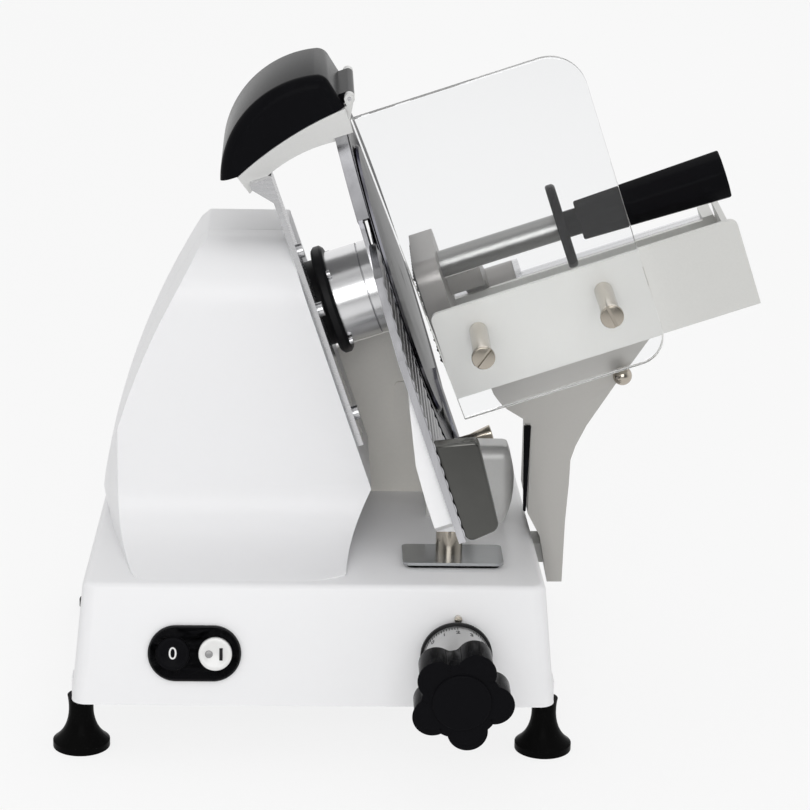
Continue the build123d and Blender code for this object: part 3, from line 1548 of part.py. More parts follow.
pieces = {
    "base_casting": make_base_casting(),
    "bottom_plate": make_bottom_plate(),
    "feet": make_feet(),
    "motor_tower": make_motor_tower(),
    "tower_rear_cover": make_tower_rear_cover(),
    "body_screws": make_body_screws(),
    "hub_flange": make_hub_flange(),
    "hub_housing": make_hub_housing(),
    "blade_bearings": make_blade_bearings(),
    "blade": make_blade(),
    "blade_shaft": make_blade_shaft(),
    "blade_screws": make_blade_screws(),
    "blade_pulley": make_blade_pulley(),
    "motor": make_motor(),
    "motor_mount": make_motor_mount(),
    "motor_pulley": make_motor_pulley(),
    "drive_belt": make_drive_belt(),
    "ring_guard": make_ring_guard(),
    "ring_pedestal": make_ring_pedestal(),
    "rear_web": make_rear_web(),
    "blade_cover": make_blade_cover(),
    "cover_knob": make_cover_knob(),
    "support_strut": make_support_strut(),
    "sharpener_bracket": make_sharpener_bracket(),
    "sharpener_body": make_sharpener_body(),
    "sharpener_stone_1": make_sharpener_stone(0),
    "sharpener_stone_2": make_sharpener_stone(1),
    "sharpener_cover": make_sharpener_cover(),
    "hinge_pin": make_hinge_pin(),
    "gauge_plate": make_gauge_plate(),
    "gauge_carrier": make_gauge_carrier(),
    "gauge_post": make_gauge_post(),
    "gauge_slider": make_gauge_slider(),
    "slot_cover": make_slot_cover(),
    "slot_gasket": make_slot_gasket(),
    "gauge_rod": make_gauge_rod(),
    "thickness_knob": make_thickness_knob(),
    "dial_drum": make_dial_drum(),
    "knob_shaft": make_knob_shaft(),
    "cam_disc": make_cam_disc(),
    "index_pin": make_index_pin(),
    "switch_bezel": make_switch_bezel(),
    "switch_box": make_switch_box(),
    "stop_button": make_button(stop_x),
    "start_button": make_button(start_x),
    "power_inlet": make_power_inlet(),
    "slide_rod": make_slide_rod(),
    "slide_block": make_slide_block(),
    "carriage_arm": make_carriage_arm(),
    "food_tray": make_food_tray(),
    "tray_guard": make_tray_guard(),
    "guard_spacers": make_guard_spacers(),
    "guard_screws": make_guard_screws(),
    "tray_lock": make_tray_lock(),
    "press_rail": make_press_rail(),
    "press_sleeve": make_press_sleeve(),
    "press_head": make_press_head(),
    "handle_rod": make_handle_rod(),
    "hand_shield": make_hand_shield(),
    "handle_grip": make_handle_grip(),
}


def solids_of(shape):
    return shape if isinstance(shape, list) else [shape]


boxes = [solid.bounding_box() for shape in pieces.values() for solid in solids_of(shape)]
middle_x = (min(b.min.X for b in boxes) + max(b.max.X for b in boxes)) / 2
middle_y = (min(b.min.Y for b in boxes) + max(b.max.Y for b in boxes)) / 2
middle_shift = Location((-middle_x, -middle_y, 0))

os.makedirs("parts", exist_ok=True)
for name, shape in pieces.items():
    moved = [solid.moved(middle_shift) for solid in solids_of(shape)]
    export_step(moved[0] if len(moved) == 1 else Compound(moved), f"parts/{name}.step")

print("the middle was at X", round(middle_x, 4), "and Y", round(middle_y, 4), "motor at w", round(motor_w, 4))
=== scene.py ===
# %% [markdown]
# # A meat slicer, dressed for its portrait
# The CAD frame holds every part in its true place. This lesson gives each part
# the finish of the real machine and adds what CAD leaves out: soft edges, the
# lobed knob, the ribs of the gauge, the teeth of the press, screw slots, dial
# numbers and signs.

# %% Load the frame
import json
import math

import bpy
from mathutils import Matrix, Vector


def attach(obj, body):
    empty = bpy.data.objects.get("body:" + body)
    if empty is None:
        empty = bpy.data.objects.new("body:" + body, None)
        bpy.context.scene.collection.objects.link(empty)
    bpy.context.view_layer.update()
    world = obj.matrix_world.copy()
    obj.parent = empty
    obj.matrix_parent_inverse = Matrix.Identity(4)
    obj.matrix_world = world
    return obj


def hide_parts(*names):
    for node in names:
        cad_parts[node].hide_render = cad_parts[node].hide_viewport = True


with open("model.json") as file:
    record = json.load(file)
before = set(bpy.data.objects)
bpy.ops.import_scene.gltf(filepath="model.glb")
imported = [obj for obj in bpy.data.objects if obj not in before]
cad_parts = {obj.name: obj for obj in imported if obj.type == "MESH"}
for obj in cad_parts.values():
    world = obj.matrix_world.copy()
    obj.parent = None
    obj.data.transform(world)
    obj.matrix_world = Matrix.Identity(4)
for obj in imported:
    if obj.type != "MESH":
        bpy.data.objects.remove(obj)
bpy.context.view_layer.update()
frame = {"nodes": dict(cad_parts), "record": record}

nodes = frame["nodes"]
print("frame loaded:", len(nodes), "nodes")

# %% [markdown]
# The machine is a tilted one. Its blade leans by 19 degrees, and the tray and
# the press lean with it. A point on them is easiest to give along the slope:
# u is square to the blade, w runs up along the blade, and y is depth. Both kinds
# of point are counted from the middle of the base's front edge, on the table.
# The frame's own middle lies to the right of that point and behind it, by
# middle_x and middle_y in metres.

# %% Slanted coordinates
mm = 0.001
lean = math.radians(19.0)
along_u = Vector((math.cos(lean), 0, math.sin(lean)))
along_w = Vector((-math.sin(lean), 0, math.cos(lean)))
along_y = Vector((0, 1, 0))
middle_x, middle_y = 0.0561683, 0.11025


def place(x, y, z):
    """A point given in millimetres from the front of the base."""
    return Vector((x * mm - middle_x, y * mm - middle_y, z * mm))


def tilted(u, y, w):
    """A point given in millimetres along the slope."""
    point = along_u * u + along_y * y + along_w * w
    return place(point.x, point.y, point.z)


print("front of the base at", round(-middle_x, 4), round(-middle_y, 4))

# %% [markdown]
# The camera comes before the pieces, because it decides which edges show. The
# photograph is taken from a little above and almost square to the front. A long
# lens keeps the slopes parallel, as a catalogue photographer would.

# %% Camera
view_height, view_turn, view_roll = math.radians(18.5), math.radians(2.2), math.radians(1.3)
focal_pixels, frame_pixels, sensor = 3000.0, 810.0, 36.0
camera_place = place(-13.8, -1815.0, 856.9)
ahead = Vector((math.sin(view_turn) * math.cos(view_height), math.cos(view_turn) * math.cos(view_height),
                -math.sin(view_height)))
level_right = Vector((math.cos(view_turn), -math.sin(view_turn), 0))
level_down = ahead.cross(level_right)
camera_right = level_right * math.cos(view_roll) - level_down * math.sin(view_roll)
camera_up = camera_right.cross(ahead)
camera_data = bpy.data.cameras.new("camera")
camera_data.lens = focal_pixels / frame_pixels * sensor
camera_data.sensor_width = sensor
camera = bpy.data.objects.new("camera", camera_data)
bpy.context.scene.collection.objects.link(camera)
axes = Matrix((camera_right, camera_up, -ahead)).transposed()
camera.matrix_world = Matrix.Translation(camera_place) @ axes.to_4x4()
bpy.context.scene.camera = camera
print("camera at", [round(v, 3) for v in camera_place])

# %% [markdown]
# Every finish here is made of a few nodes: a colour, a noise that varies the
# roughness, and a fine bump. Object coordinates keep each pattern on its piece.

# %% Helper for finishes
materials = {}
coat_roughness, noise_detail, relief_depth = 0.04, 4, 0.0003


def finish_of(name, colour, metallic, roughness, coat=0.0, spread=0.03, grain=400.0, bump=0.04,
              stretch=(1, 1, 1), tint=0.03, gloss=0.5, rim=1.0, index=1.5):
    """A material whose roughness, shade and relief vary by a fine noise."""
    material = bpy.data.materials.new(name)
    material.use_nodes = True
    tree = material.node_tree
    shader = tree.nodes["Principled BSDF"]
    shader.inputs["Metallic"].default_value = metallic
    shader.inputs["Coat Weight"].default_value = coat
    shader.inputs["Coat Roughness"].default_value = coat_roughness
    shader.inputs["Specular IOR Level"].default_value = gloss
    shader.inputs["Specular Tint"].default_value = (rim, rim, rim, 1)
    shader.inputs["IOR"].default_value = index
    where = tree.nodes.new("ShaderNodeTexCoord")
    turn = tree.nodes.new("ShaderNodeMapping")
    turn.inputs["Rotation"].default_value = (0, lean, 0)
    turn.inputs["Scale"].default_value = stretch
    noise = tree.nodes.new("ShaderNodeTexNoise")
    noise.inputs["Scale"].default_value = grain
    noise.inputs["Detail"].default_value = noise_detail
    shade = tree.nodes.new("ShaderNodeMapRange")
    shade.inputs["To Min"].default_value = roughness - spread
    shade.inputs["To Max"].default_value = roughness + spread
    mix = tree.nodes.new("ShaderNodeMix")
    mix.data_type = "RGBA"
    mix.inputs["A"].default_value = (*[v * (1 - tint) for v in colour], 1)
    mix.inputs["B"].default_value = (*[min(1, v * (1 + tint)) for v in colour], 1)
    relief = tree.nodes.new("ShaderNodeBump")
    relief.inputs["Strength"].default_value = bump
    relief.inputs["Distance"].default_value = relief_depth
    link = tree.links.new
    link(where.outputs["Object"], turn.inputs["Vector"])
    link(turn.outputs["Vector"], noise.inputs["Vector"])
    link(noise.outputs["Fac"], shade.inputs["Value"])
    link(shade.outputs["Result"], shader.inputs["Roughness"])
    link(noise.outputs["Fac"], mix.inputs["Factor"])
    link(mix.outputs["Result"], shader.inputs["Base Color"])
    link(noise.outputs["Fac"], relief.inputs["Height"])
    link(relief.outputs["Normal"], shader.inputs["Normal"])
    materials[name] = material
    return material


# %% [markdown]
# White stove enamel is smooth and glossy, with a hint of orange peel. Cast
# aluminium is tumbled to a satin, rolled steel keeps a brushed direction, and
# the hub and the blade cover are polished. Black plastics are glossy, rubber is
# not. Three values hold back how much of the white room a piece mirrors: gloss
# is the strength of the reflection, rim darkens it, for a metal only towards the
# edge, and a low index keeps black plastic dark even at a shallow angle.

# %% Finishes
white_enamel = finish_of("white_enamel", (0.85, 0.85, 0.86), 0.0, 0.34, grain=260, bump=0.02, tint=0.005,
                         gloss=0.3)
satin_cast = finish_of("satin_cast", (0.64, 0.64, 0.62), 0.35, 0.50, spread=0.05, grain=700, bump=0.10)
pale_cast = finish_of("pale_cast", (0.62, 0.62, 0.61), 0.25, 0.38, spread=0.05, grain=600, bump=0.08)
arm_cast = finish_of("arm_cast", (0.46, 0.45, 0.43), 0.5, 0.40, spread=0.05, grain=700, bump=0.10)
rod_metal = finish_of("rod_metal", (0.27, 0.27, 0.265), 1.0, 0.30, spread=0.05, grain=500, bump=0.05)
# Painted light: the rear web's beige is made brighter than its cast aluminium would be, to stand in for light
# that the recess behind the gauge does not get.
painted_light_beige_cast = finish_of("painted_light_beige_cast", (0.86, 0.84, 0.79), 0.0, 0.45, spread=0.05, grain=500, bump=0.12)
grey_cast = finish_of("grey_cast", (0.23, 0.23, 0.24), 0.85, 0.32, spread=0.06, grain=500, bump=0.12)
plate_metal = finish_of("plate_metal", (0.42, 0.43, 0.44), 0.9, 0.22, spread=0.05, grain=500, bump=0.05)
taupe_cast = finish_of("taupe_cast", (0.27, 0.26, 0.25), 0.6, 0.38, spread=0.06, grain=450, bump=0.12,
                       tint=0.06)
dark_polish = finish_of("dark_polish", (0.10, 0.10, 0.095), 1.0, 0.24, spread=0.06, grain=120, bump=0.03,
                        tint=0.1)
drum_metal = finish_of("drum_metal", (0.55, 0.55, 0.55), 0.75, 0.33, spread=0.06, grain=500, bump=0.06,
                       stretch=(1, 0.05, 1))
brushed_steel = finish_of("brushed_steel", (0.62, 0.62, 0.63), 1.0, 0.26, spread=0.08, grain=500, bump=0.05,
                          stretch=(0.05, 1, 1))
# Painted reflection: the strong noise of this steel, stretched along the slope, paints dark and light streaks
# that stand in for the edges and gaps that the ring guard and the gauge plate mirror.
painted_reflection_steel = finish_of("painted_reflection_steel", (0.50, 0.50, 0.52), 1.0, 0.20, spread=0.08, grain=70, bump=0.12,
                           stretch=(1, 1, 0.06), tint=0.45, rim=0.5)
# Painted reflection: the blade and its cover are streaked along the slope in the same way, so that dark and
# light lines stand in for what the polished steel mirrors.
painted_reflection_blade_steel = finish_of("painted_reflection_blade_steel", (0.30, 0.30, 0.33), 1.0, 0.18, spread=0.05, grain=90, bump=0.05,
                         stretch=(1, 1, 0.03), tint=0.35, rim=0.1)
polished_metal = finish_of("polished_metal", (0.74, 0.74, 0.75), 1.0, 0.24, spread=0.03, grain=60, bump=0.01)
nickel_plate = finish_of("nickel_plate", (0.46, 0.42, 0.36), 1.0, 0.18, spread=0.04, grain=300, bump=0.02)
black_gloss = finish_of("black_gloss", (0.006, 0.006, 0.007), 0.0, 0.20, grain=300, bump=0.01, rim=0.6,
                        index=1.08)
black_matt = finish_of("black_matt", (0.012, 0.012, 0.013), 0.0, 0.42, grain=900, bump=0.15, gloss=0.15)
black_rubber = finish_of("black_rubber", (0.004, 0.004, 0.004), 0.0, 0.30, grain=500, bump=0.03, rim=0.6,
                         index=1.08)
white_plastic = finish_of("white_plastic", (0.78, 0.78, 0.77), 0.0, 0.25, coat=0.3, grain=300, bump=0.01)
lens_plastic = finish_of("lens_plastic", (0.28, 0.28, 0.28), 0.0, 0.18, coat=0.5, grain=300, bump=0.01)
grinding_stone = finish_of("grinding_stone", (0.62, 0.55, 0.45), 0.0, 0.85, grain=1500, bump=0.8, tint=0.2)
motor_paint = finish_of("motor_paint", (0.06, 0.065, 0.07), 0.2, 0.5, grain=500, bump=0.1)
print("finishes:", ", ".join(materials))

# %% [markdown]
# Acrylic bends the light that passes it. A shader that only bends light gives
# the shadow of a solid sheet, so for shadow rays it is mixed over to plain
# transparency, and what stands behind the guard stays bright.

# %% Clear acrylic
clear_acrylic = bpy.data.materials.new("clear_acrylic")
clear_acrylic.use_nodes = True
clear_tree = clear_acrylic.node_tree
clear_shader = clear_tree.nodes["Principled BSDF"]
clear_shader.inputs["Base Color"].default_value = (0.97, 0.975, 0.98, 1)
clear_shader.inputs["Transmission Weight"].default_value = 1.0
clear_shader.inputs["Roughness"].default_value = 0.01
clear_shader.inputs["IOR"].default_value = 1.49
open_air = clear_tree.nodes.new("ShaderNodeBsdfTransparent")
ray_kind = clear_tree.nodes.new("ShaderNodeLightPath")
through = clear_tree.nodes.new("ShaderNodeMixShader")
clear_tree.links.new(ray_kind.outputs["Is Shadow Ray"], through.inputs["Fac"])
clear_tree.links.new(clear_shader.outputs["BSDF"], through.inputs[1])
clear_tree.links.new(open_air.outputs["BSDF"], through.inputs[2])
clear_tree.links.new(through.outputs["Shader"], clear_tree.nodes["Material Output"].inputs["Surface"])
print("acrylic ready")

# %% [markdown]
# Each CAD part names the slot of its material, and the slot picks the finish. A
# few parts look different from their neighbours in the same slot, so they are
# given a finish by name.

# %% Dress the CAD parts
finish_by_slot = {
    "white_paint": white_enamel, "cast_aluminium": satin_cast, "dark_aluminium": grey_cast,
    "sheet_steel": brushed_steel, "blade_steel": painted_reflection_blade_steel, "polished_metal": polished_metal,
    "nickel": nickel_plate, "black_plastic": black_gloss, "dark_plastic": black_matt,
    "white_plastic": white_plastic, "black_rubber": black_rubber, "clear_acrylic": clear_acrylic,
    "stone": grinding_stone, "machine_steel": brushed_steel, "motor_paint": motor_paint,
}
# Among these, the gauge plate, the blade cover and the ring guard take steels with painted reflection
# streaks, and the rear web takes a beige made brighter to paint in light that its recess lacks.
finish_by_node = {
    "gauge_plate": painted_reflection_steel, "gauge_carrier": white_enamel, "rear_web": painted_light_beige_cast,
    "dial_drum": drum_metal, "ring_pedestal": pale_cast, "slot_cover": plate_metal,
    "press_head": taupe_cast, "blade_cover": painted_reflection_blade_steel, "ring_guard": painted_reflection_steel,
    "handle_rod": rod_metal, "sharpener_bracket": pale_cast,
}
slot_of_node = {row["node"]: row["material_slot"] for row in frame["record"]["subparts"]}
for name, node in nodes.items():
    node.data.materials.clear()
    node.data.materials.append(finish_by_node.get(name, finish_by_slot[slot_of_node[name]]))
print("parts dressed:", len(nodes))

# %% [markdown]
# A catalogue picture is made on a white sweep. The floor is pale and takes the
# soft shadow, yet it shows itself white to the camera, through the guard and in
# mirrors. What mirrors see of it fades towards the camera, so that steel and
# black plastic have something darker than a white room to show.

# %% Floor
floor_size, floor_shade, floor_roughness, floor_glow = 12, 0.85, 0.7, 0.8
fade_far_y, fade_near_y, fade_least = -2.4, -0.5, 0.15


def either(tree, first, second):
    """One where a ray is of the first or the second kind, else zero."""
    node = tree.nodes.new("ShaderNodeMath")
    node.operation = "MAXIMUM"
    tree.links.new(first, node.inputs[0])
    tree.links.new(second, node.inputs[1])
    return node.outputs[0]


bpy.ops.object.select_all(action="DESELECT")
bpy.ops.mesh.primitive_plane_add(size=floor_size, location=(0, 0, 0))
floor = bpy.context.object
floor.name = "floor"
floor_paint = bpy.data.materials.new("floor_paint")
floor_paint.use_nodes = True
tree = floor_paint.node_tree
link = tree.links.new
floor_shader = tree.nodes["Principled BSDF"]
floor_shader.inputs["Base Color"].default_value = (floor_shade, floor_shade, floor_shade, 1)
floor_shader.inputs["Roughness"].default_value = floor_roughness
spot = tree.nodes.new("ShaderNodeTexCoord")
spot_parts = tree.nodes.new("ShaderNodeSeparateXYZ")
fade = tree.nodes.new("ShaderNodeMapRange")
fade.inputs["From Min"].default_value = fade_far_y
fade.inputs["From Max"].default_value = fade_near_y
fade.inputs["To Min"].default_value = fade_least
mirrored = tree.nodes.new("ShaderNodeMix")
mirrored.data_type = "RGBA"
mirrored.inputs["A"].default_value = (1, 1, 1, 1)
glow = tree.nodes.new("ShaderNodeEmission")
rays = tree.nodes.new("ShaderNodeLightPath")
seen = either(tree, rays.outputs["Is Camera Ray"], rays.outputs["Is Transmission Ray"])
seen_or_mirrored = either(tree, seen, rays.outputs["Is Glossy Ray"])
share = tree.nodes.new("ShaderNodeMath")
share.operation = "MULTIPLY"
share.inputs[1].default_value = floor_glow
blend = tree.nodes.new("ShaderNodeMixShader")
link(spot.outputs["Object"], spot_parts.inputs["Vector"])
link(spot_parts.outputs["Y"], fade.inputs["Value"])
link(fade.outputs["Result"], mirrored.inputs["B"])
link(rays.outputs["Is Glossy Ray"], mirrored.inputs["Factor"])
link(mirrored.outputs["Result"], glow.inputs["Color"])
link(seen_or_mirrored, share.inputs[0])
link(share.outputs[0], blend.inputs["Fac"])
link(floor_shader.outputs["BSDF"], blend.inputs[1])
link(glow.outputs["Emission"], blend.inputs[2])
link(blend.outputs["Shader"], tree.nodes["Material Output"].inputs["Surface"])
floor.data.materials.append(floor_paint)
print("floor", floor_size, "metres wide")

# %% [markdown]
# The world does three jobs. For diffuse light it is an even white room. To the
# camera, and through the clear guard, it is pure white. Mirrors see it with two
# dark strips, one at each side, and darker on the camera's side, just as dark
# cards are hung round polished metal in a studio so that its edges read.

# %% World
room_strength = 0.68
strip_stops = [(0.0, 1.0), (0.13, 1.0), (0.20, 0.30), (0.27, 1.0), (0.74, 1.0), (0.80, 0.35), (0.87, 1.0)]
camera_stops = [(0.0, 0.10), (0.10, 0.22), (0.30, 0.75), (0.45, 1.0)]
world = bpy.data.worlds.new("studio")
bpy.context.scene.world = world
world.use_nodes = True
tree = world.node_tree
link = tree.links.new


def light_ramp(stops):
    """A ramp of grey from pairs of a place and a light."""
    ramp = tree.nodes.new("ShaderNodeValToRGB")
    ramp.color_ramp.elements.remove(ramp.color_ramp.elements[1])
    for stop, light in stops:
        row = ramp.color_ramp.elements.new(stop) if stop else ramp.color_ramp.elements[0]
        row.color = (light, light, light, 1)
    return ramp


def from_side_to_side():
    """A direction's share, from minus one to one, turned into zero to one."""
    spread = tree.nodes.new("ShaderNodeMapRange")
    spread.inputs["From Min"].default_value = -1.0
    return spread


room = tree.nodes["Background"]
room.inputs["Color"].default_value = (1, 1, 1, 1)
room.inputs["Strength"].default_value = room_strength
direction = tree.nodes.new("ShaderNodeTexCoord")
direction_parts = tree.nodes.new("ShaderNodeSeparateXYZ")
strips, camera_side = light_ramp(strip_stops), light_ramp(camera_stops)
across, inward = from_side_to_side(), from_side_to_side()
mirrored = tree.nodes.new("ShaderNodeMix")
mirrored.data_type = "RGBA"
mirrored.blend_type = "MULTIPLY"
mirrored.inputs["Factor"].default_value = 1.0
shown = tree.nodes.new("ShaderNodeMix")
shown.data_type = "RGBA"
shown.inputs["B"].default_value = (1, 1, 1, 1)
backdrop = tree.nodes.new("ShaderNodeBackground")
rays = tree.nodes.new("ShaderNodeLightPath")
seen = either(tree, rays.outputs["Is Camera Ray"], rays.outputs["Is Transmission Ray"])
seen_or_mirrored = either(tree, seen, rays.outputs["Is Glossy Ray"])
blend = tree.nodes.new("ShaderNodeMixShader")
link(direction.outputs["Generated"], direction_parts.inputs["Vector"])
link(direction_parts.outputs["X"], across.inputs["Value"])
link(direction_parts.outputs["Y"], inward.inputs["Value"])
link(across.outputs["Result"], strips.inputs["Fac"])
link(inward.outputs["Result"], camera_side.inputs["Fac"])
link(strips.outputs["Color"], mirrored.inputs["A"])
link(camera_side.outputs["Color"], mirrored.inputs["B"])
link(mirrored.outputs["Result"], shown.inputs["A"])
link(seen, shown.inputs["Factor"])
link(shown.outputs["Result"], backdrop.inputs["Color"])
link(seen_or_mirrored, blend.inputs["Fac"])
link(room.outputs["Background"], blend.inputs[1])
link(backdrop.outputs["Background"], blend.inputs[2])
link(blend.outputs["Shader"], tree.nodes["World Output"].inputs["Surface"])
print("world with", len(strip_stops), "stops across")

# %% [markdown]
# Four soft lamps shape the machine. The strongest stands by the camera, where
# it throws the least shadow that shows. A weaker one stands above it, and two
# more, overhead and behind, lift the upper edges.

# %% Lamps
lamp_aim = (0, 0, 0.2)


def soft_lamp(name, place_at, size, power):
    """A square area lamp that looks at the middle of the machine."""
    lamp = bpy.data.lights.new(name, "AREA")
    lamp.size = size
    lamp.energy = power
    lamp_object = bpy.data.objects.new(name, lamp)
    bpy.context.scene.collection.objects.link(lamp_object)
    lamp_object.location = place_at
    lamp_object.rotation_euler = (Vector(lamp_aim) - Vector(place_at)).to_track_quat("-Z", "Y").to_euler()


soft_lamp("lamp_front", (-0.10, -2.0, 1.45), 1.6, 4)
soft_lamp("lamp_near_view", (-0.08, -2.1, 0.90), 1.2, 13)
soft_lamp("lamp_above", (0.3, 0.1, 2.2), 1.6, 2)
soft_lamp("lamp_behind", (0.6, 2.4, 1.6), 1.8, 4)
bpy.context.scene.view_settings.view_transform = "Standard"
print("studio ready")

# %% [markdown]
# The pieces that CAD leaves plain are modelled here with the tools of the menu.
# Each one starts as a primitive in its own small frame, is shaped in edit mode,
# and is then carried to its place, so that its object ends at the origin. Four
# frames are enough: along the slope, round an axle, on the sloping front panel,
# and facing the operator.

# %% Frames for the new pieces
panel_lean, panel_height, foot_height = 19.0, 78.0, 39.0
panel_up = Vector((0, panel_lean, panel_height)).normalized()
panel_out = Vector((0, -panel_height, panel_lean)).normalized()
right, up, front = Vector((1, 0, 0)), Vector((0, 0, 1)), Vector((0, -1, 0))


def frame_of(x_line, y_line, z_line, origin):
    return Matrix.Translation(origin) @ Matrix((x_line, y_line, z_line)).transposed().to_4x4()


def slope_frame(u, y, w):
    """x runs along u, y along depth, z along w."""
    return frame_of(along_u, along_y, along_w, tilted(u, y, w))


def axle_frame(u, y, w):
    """z runs along u, for round pieces that turn about a line square to the blade."""
    return frame_of(along_y, along_w, along_u, tilted(u, y, w))


def panel_frame(x, rise):
    """z points out of the front panel, y runs up along it."""
    return frame_of(right, panel_up, panel_out, place(x, 0, foot_height) + panel_up * rise * mm)


def facing_frame(x, y, z):
    """z points at the operator, y points up."""
    return frame_of(right, up, front, place(x, y, z))


print("panel leans back by", round(math.degrees(math.atan2(panel_lean, panel_height)), 1), "degrees")

# %% [markdown]
# The same few moves shape every piece, so each has a short name. A test picks
# corners by their place, in millimetres: within touch of a plane they lie on it,
# and within near of it they belong to that end of the piece.

# %% Tools for the new pieces
touch, near = 0.01, 1.0


def work_on(piece):
    """Make a piece the only chosen one."""
    bpy.ops.object.select_all(action="DESELECT")
    bpy.context.view_layer.objects.active = piece
    piece.select_set(True)


def start_piece(name, size):
    piece = bpy.context.object
    piece.name = name
    piece.scale = size
    bpy.ops.object.transform_apply(location=True, rotation=True, scale=True)
    return piece


def start_block(name, size, centre=(0, 0, 0)):
    """A box of a size in millimetres about a centre, as the start of a piece."""
    bpy.ops.object.select_all(action="DESELECT")
    bpy.ops.mesh.primitive_cube_add(size=mm, location=Vector(centre) * mm)
    return start_piece(name, size)


def start_disc(name, radius, low, high, sides=64):
    """A round bar about the z line from low to high, in millimetres."""
    bpy.ops.object.select_all(action="DESELECT")
    bpy.ops.mesh.primitive_cylinder_add(vertices=sides, radius=radius * mm, depth=(high - low) * mm,
                                        location=(0, 0, (low + high) / 2 * mm))
    return start_piece(name, (1, 1, 1))


def select_in(piece, kind, test):
    """Go into edit mode with the chosen faces or edges selected. The test takes millimetres."""
    work_on(piece)
    bpy.ops.object.mode_set(mode="EDIT")
    bpy.ops.mesh.select_mode(type=kind)
    bpy.ops.mesh.select_all(action="DESELECT")
    bpy.ops.object.mode_set(mode="OBJECT")
    corners = piece.data.vertices
    for item in piece.data.edges if kind == "EDGE" else piece.data.polygons:
        item.select = all(test(corners[index].co / mm) for index in item.vertices)
    bpy.ops.object.mode_set(mode="EDIT")


def mark_upright(piece, test):
    """In edit mode, choose the edges along z whose ends pass the test. Chosen faces keep theirs."""
    bpy.ops.object.mode_set(mode="OBJECT")
    for edge in piece.data.edges:
        low, high = (piece.data.vertices[index].co / mm for index in edge.vertices)
        edge.select = abs(low.z - high.z) > near and test(low) and test(high)
    bpy.ops.object.mode_set(mode="EDIT")


def edit_all(piece, kind="FACE"):
    """Go into edit mode with everything selected."""
    select_in(piece, kind, lambda corner: True)
    bpy.ops.mesh.select_all(action="SELECT")


def leave_edit():
    bpy.ops.mesh.select_all(action="DESELECT")
    bpy.ops.object.mode_set(mode="OBJECT")


def soften(piece, test, width, steps=3):
    """Round the edges whose ends pass the test."""
    select_in(piece, "EDGE", test)
    bpy.ops.mesh.bevel(offset=width * mm, segments=steps, affect="EDGES", clamp_overlap=False)
    leave_edit()


def soften_sharp(piece, width, steps=3, sharp=40):
    """Round every edge that turns by more than an angle in degrees."""
    select_in(piece, "EDGE", lambda corner: False)
    bpy.ops.mesh.edges_select_sharp(sharpness=math.radians(sharp))
    bpy.ops.mesh.bevel(offset=width * mm, segments=steps, affect="EDGES", clamp_overlap=True)
    leave_edit()


def combine(piece, tool, way):
    """Add or cut a second shape, and delete it."""
    work_on(piece)
    step = piece.modifiers.new("combine", "BOOLEAN")
    step.operation = way
    step.object = tool
    step.solver = "EXACT"
    bpy.ops.object.modifier_apply(modifier=step.name)
    bpy.data.objects.remove(tool)


def keep_behind(piece, point, normal):
    """Cut a piece along a plane, close the cut and keep what lies behind the plane."""
    edit_all(piece)
    bpy.ops.mesh.bisect(plane_co=point, plane_no=normal, use_fill=True, clear_outer=True)
    bpy.ops.mesh.select_all(action="SELECT")
    bpy.ops.mesh.normals_make_consistent(inside=False)
    leave_edit()


def carry(piece, frame_matrix):
    """Move a piece to its place and write that place into its mesh."""
    work_on(piece)
    piece.matrix_world = frame_matrix @ piece.matrix_world
    bpy.ops.object.transform_apply(location=True, rotation=True, scale=True)


def join_all(pieces):
    """Write each piece's place into its mesh and join them all to the first."""
    work_on(pieces[0])
    for piece in pieces:
        piece.select_set(True)
    bpy.ops.object.transform_apply(location=True, rotation=True, scale=True)
    bpy.ops.object.join()
    return pieces[0]


def hand_over(piece, finish, body, replaced=(), smooth=35):
    """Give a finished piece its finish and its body."""
    work_on(piece)
    bpy.ops.object.shade_smooth_by_angle(angle=math.radians(smooth))
    piece.data.materials.clear()
    piece.data.materials.append(finish)
    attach(piece, body)
    if replaced:
        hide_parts(*replaced)
    print(piece.name, len(piece.data.polygons), "faces")


# %% [markdown]
# The thickness knob is a moulding with five round lobes, made to be gripped from
# the front. Five short bars are united with a round core. The first bevel takes
# the hollows between the lobes and both rims together: choosing the sharp edges
# also chooses the two end faces, and those keep their edges. Rounding the
# hollows alone tears the knob at its next bevel. Each rim is then rounded again.

# %% Thickness knob
knob_x, knob_z, knob_back_y, knob_length = 93.5, 75.0, -42.0, 31.0
lobe_count, lobe_reach, lobe_radius, lobe_core, lobe_start = 5, 21.0, 11.5, 24.0, -6.5
hollow_turn, hollow_spread, hollow_depth, hollow_sharp = 28.6, 1.2, 0.15, 30
hollow_round, rim_round, back_round = 2.6, 4.2, 1.5
face_radius, face_rise, face_round = 19.0, 2.0, 1.2
lobe_step = 360 / lobe_count
knob = start_disc("knob_lobes", lobe_core, 0, knob_length, sides=120)
for index in range(lobe_count):
    angle = math.radians(lobe_start + lobe_step * index)
    lobe = start_disc("lobe", lobe_radius, 0, knob_length)
    lobe.location = (lobe_reach * math.cos(angle) * mm, lobe_reach * math.sin(angle) * mm, 0)
    combine(knob, lobe, "UNION")
edit_all(knob, "EDGE")
bpy.ops.mesh.dissolve_limited(angle_limit=math.radians(1))
leave_edit()


def in_hollow(corner):
    """Where a lobe meets the core."""
    reach = math.hypot(corner.x, corner.y)
    turn = (math.degrees(math.atan2(corner.y, corner.x)) - lobe_start) % lobe_step
    off_turn = min(abs(turn - hollow_turn), abs(turn - lobe_step + hollow_turn))
    return abs(reach - lobe_core) < hollow_depth and off_turn < hollow_spread


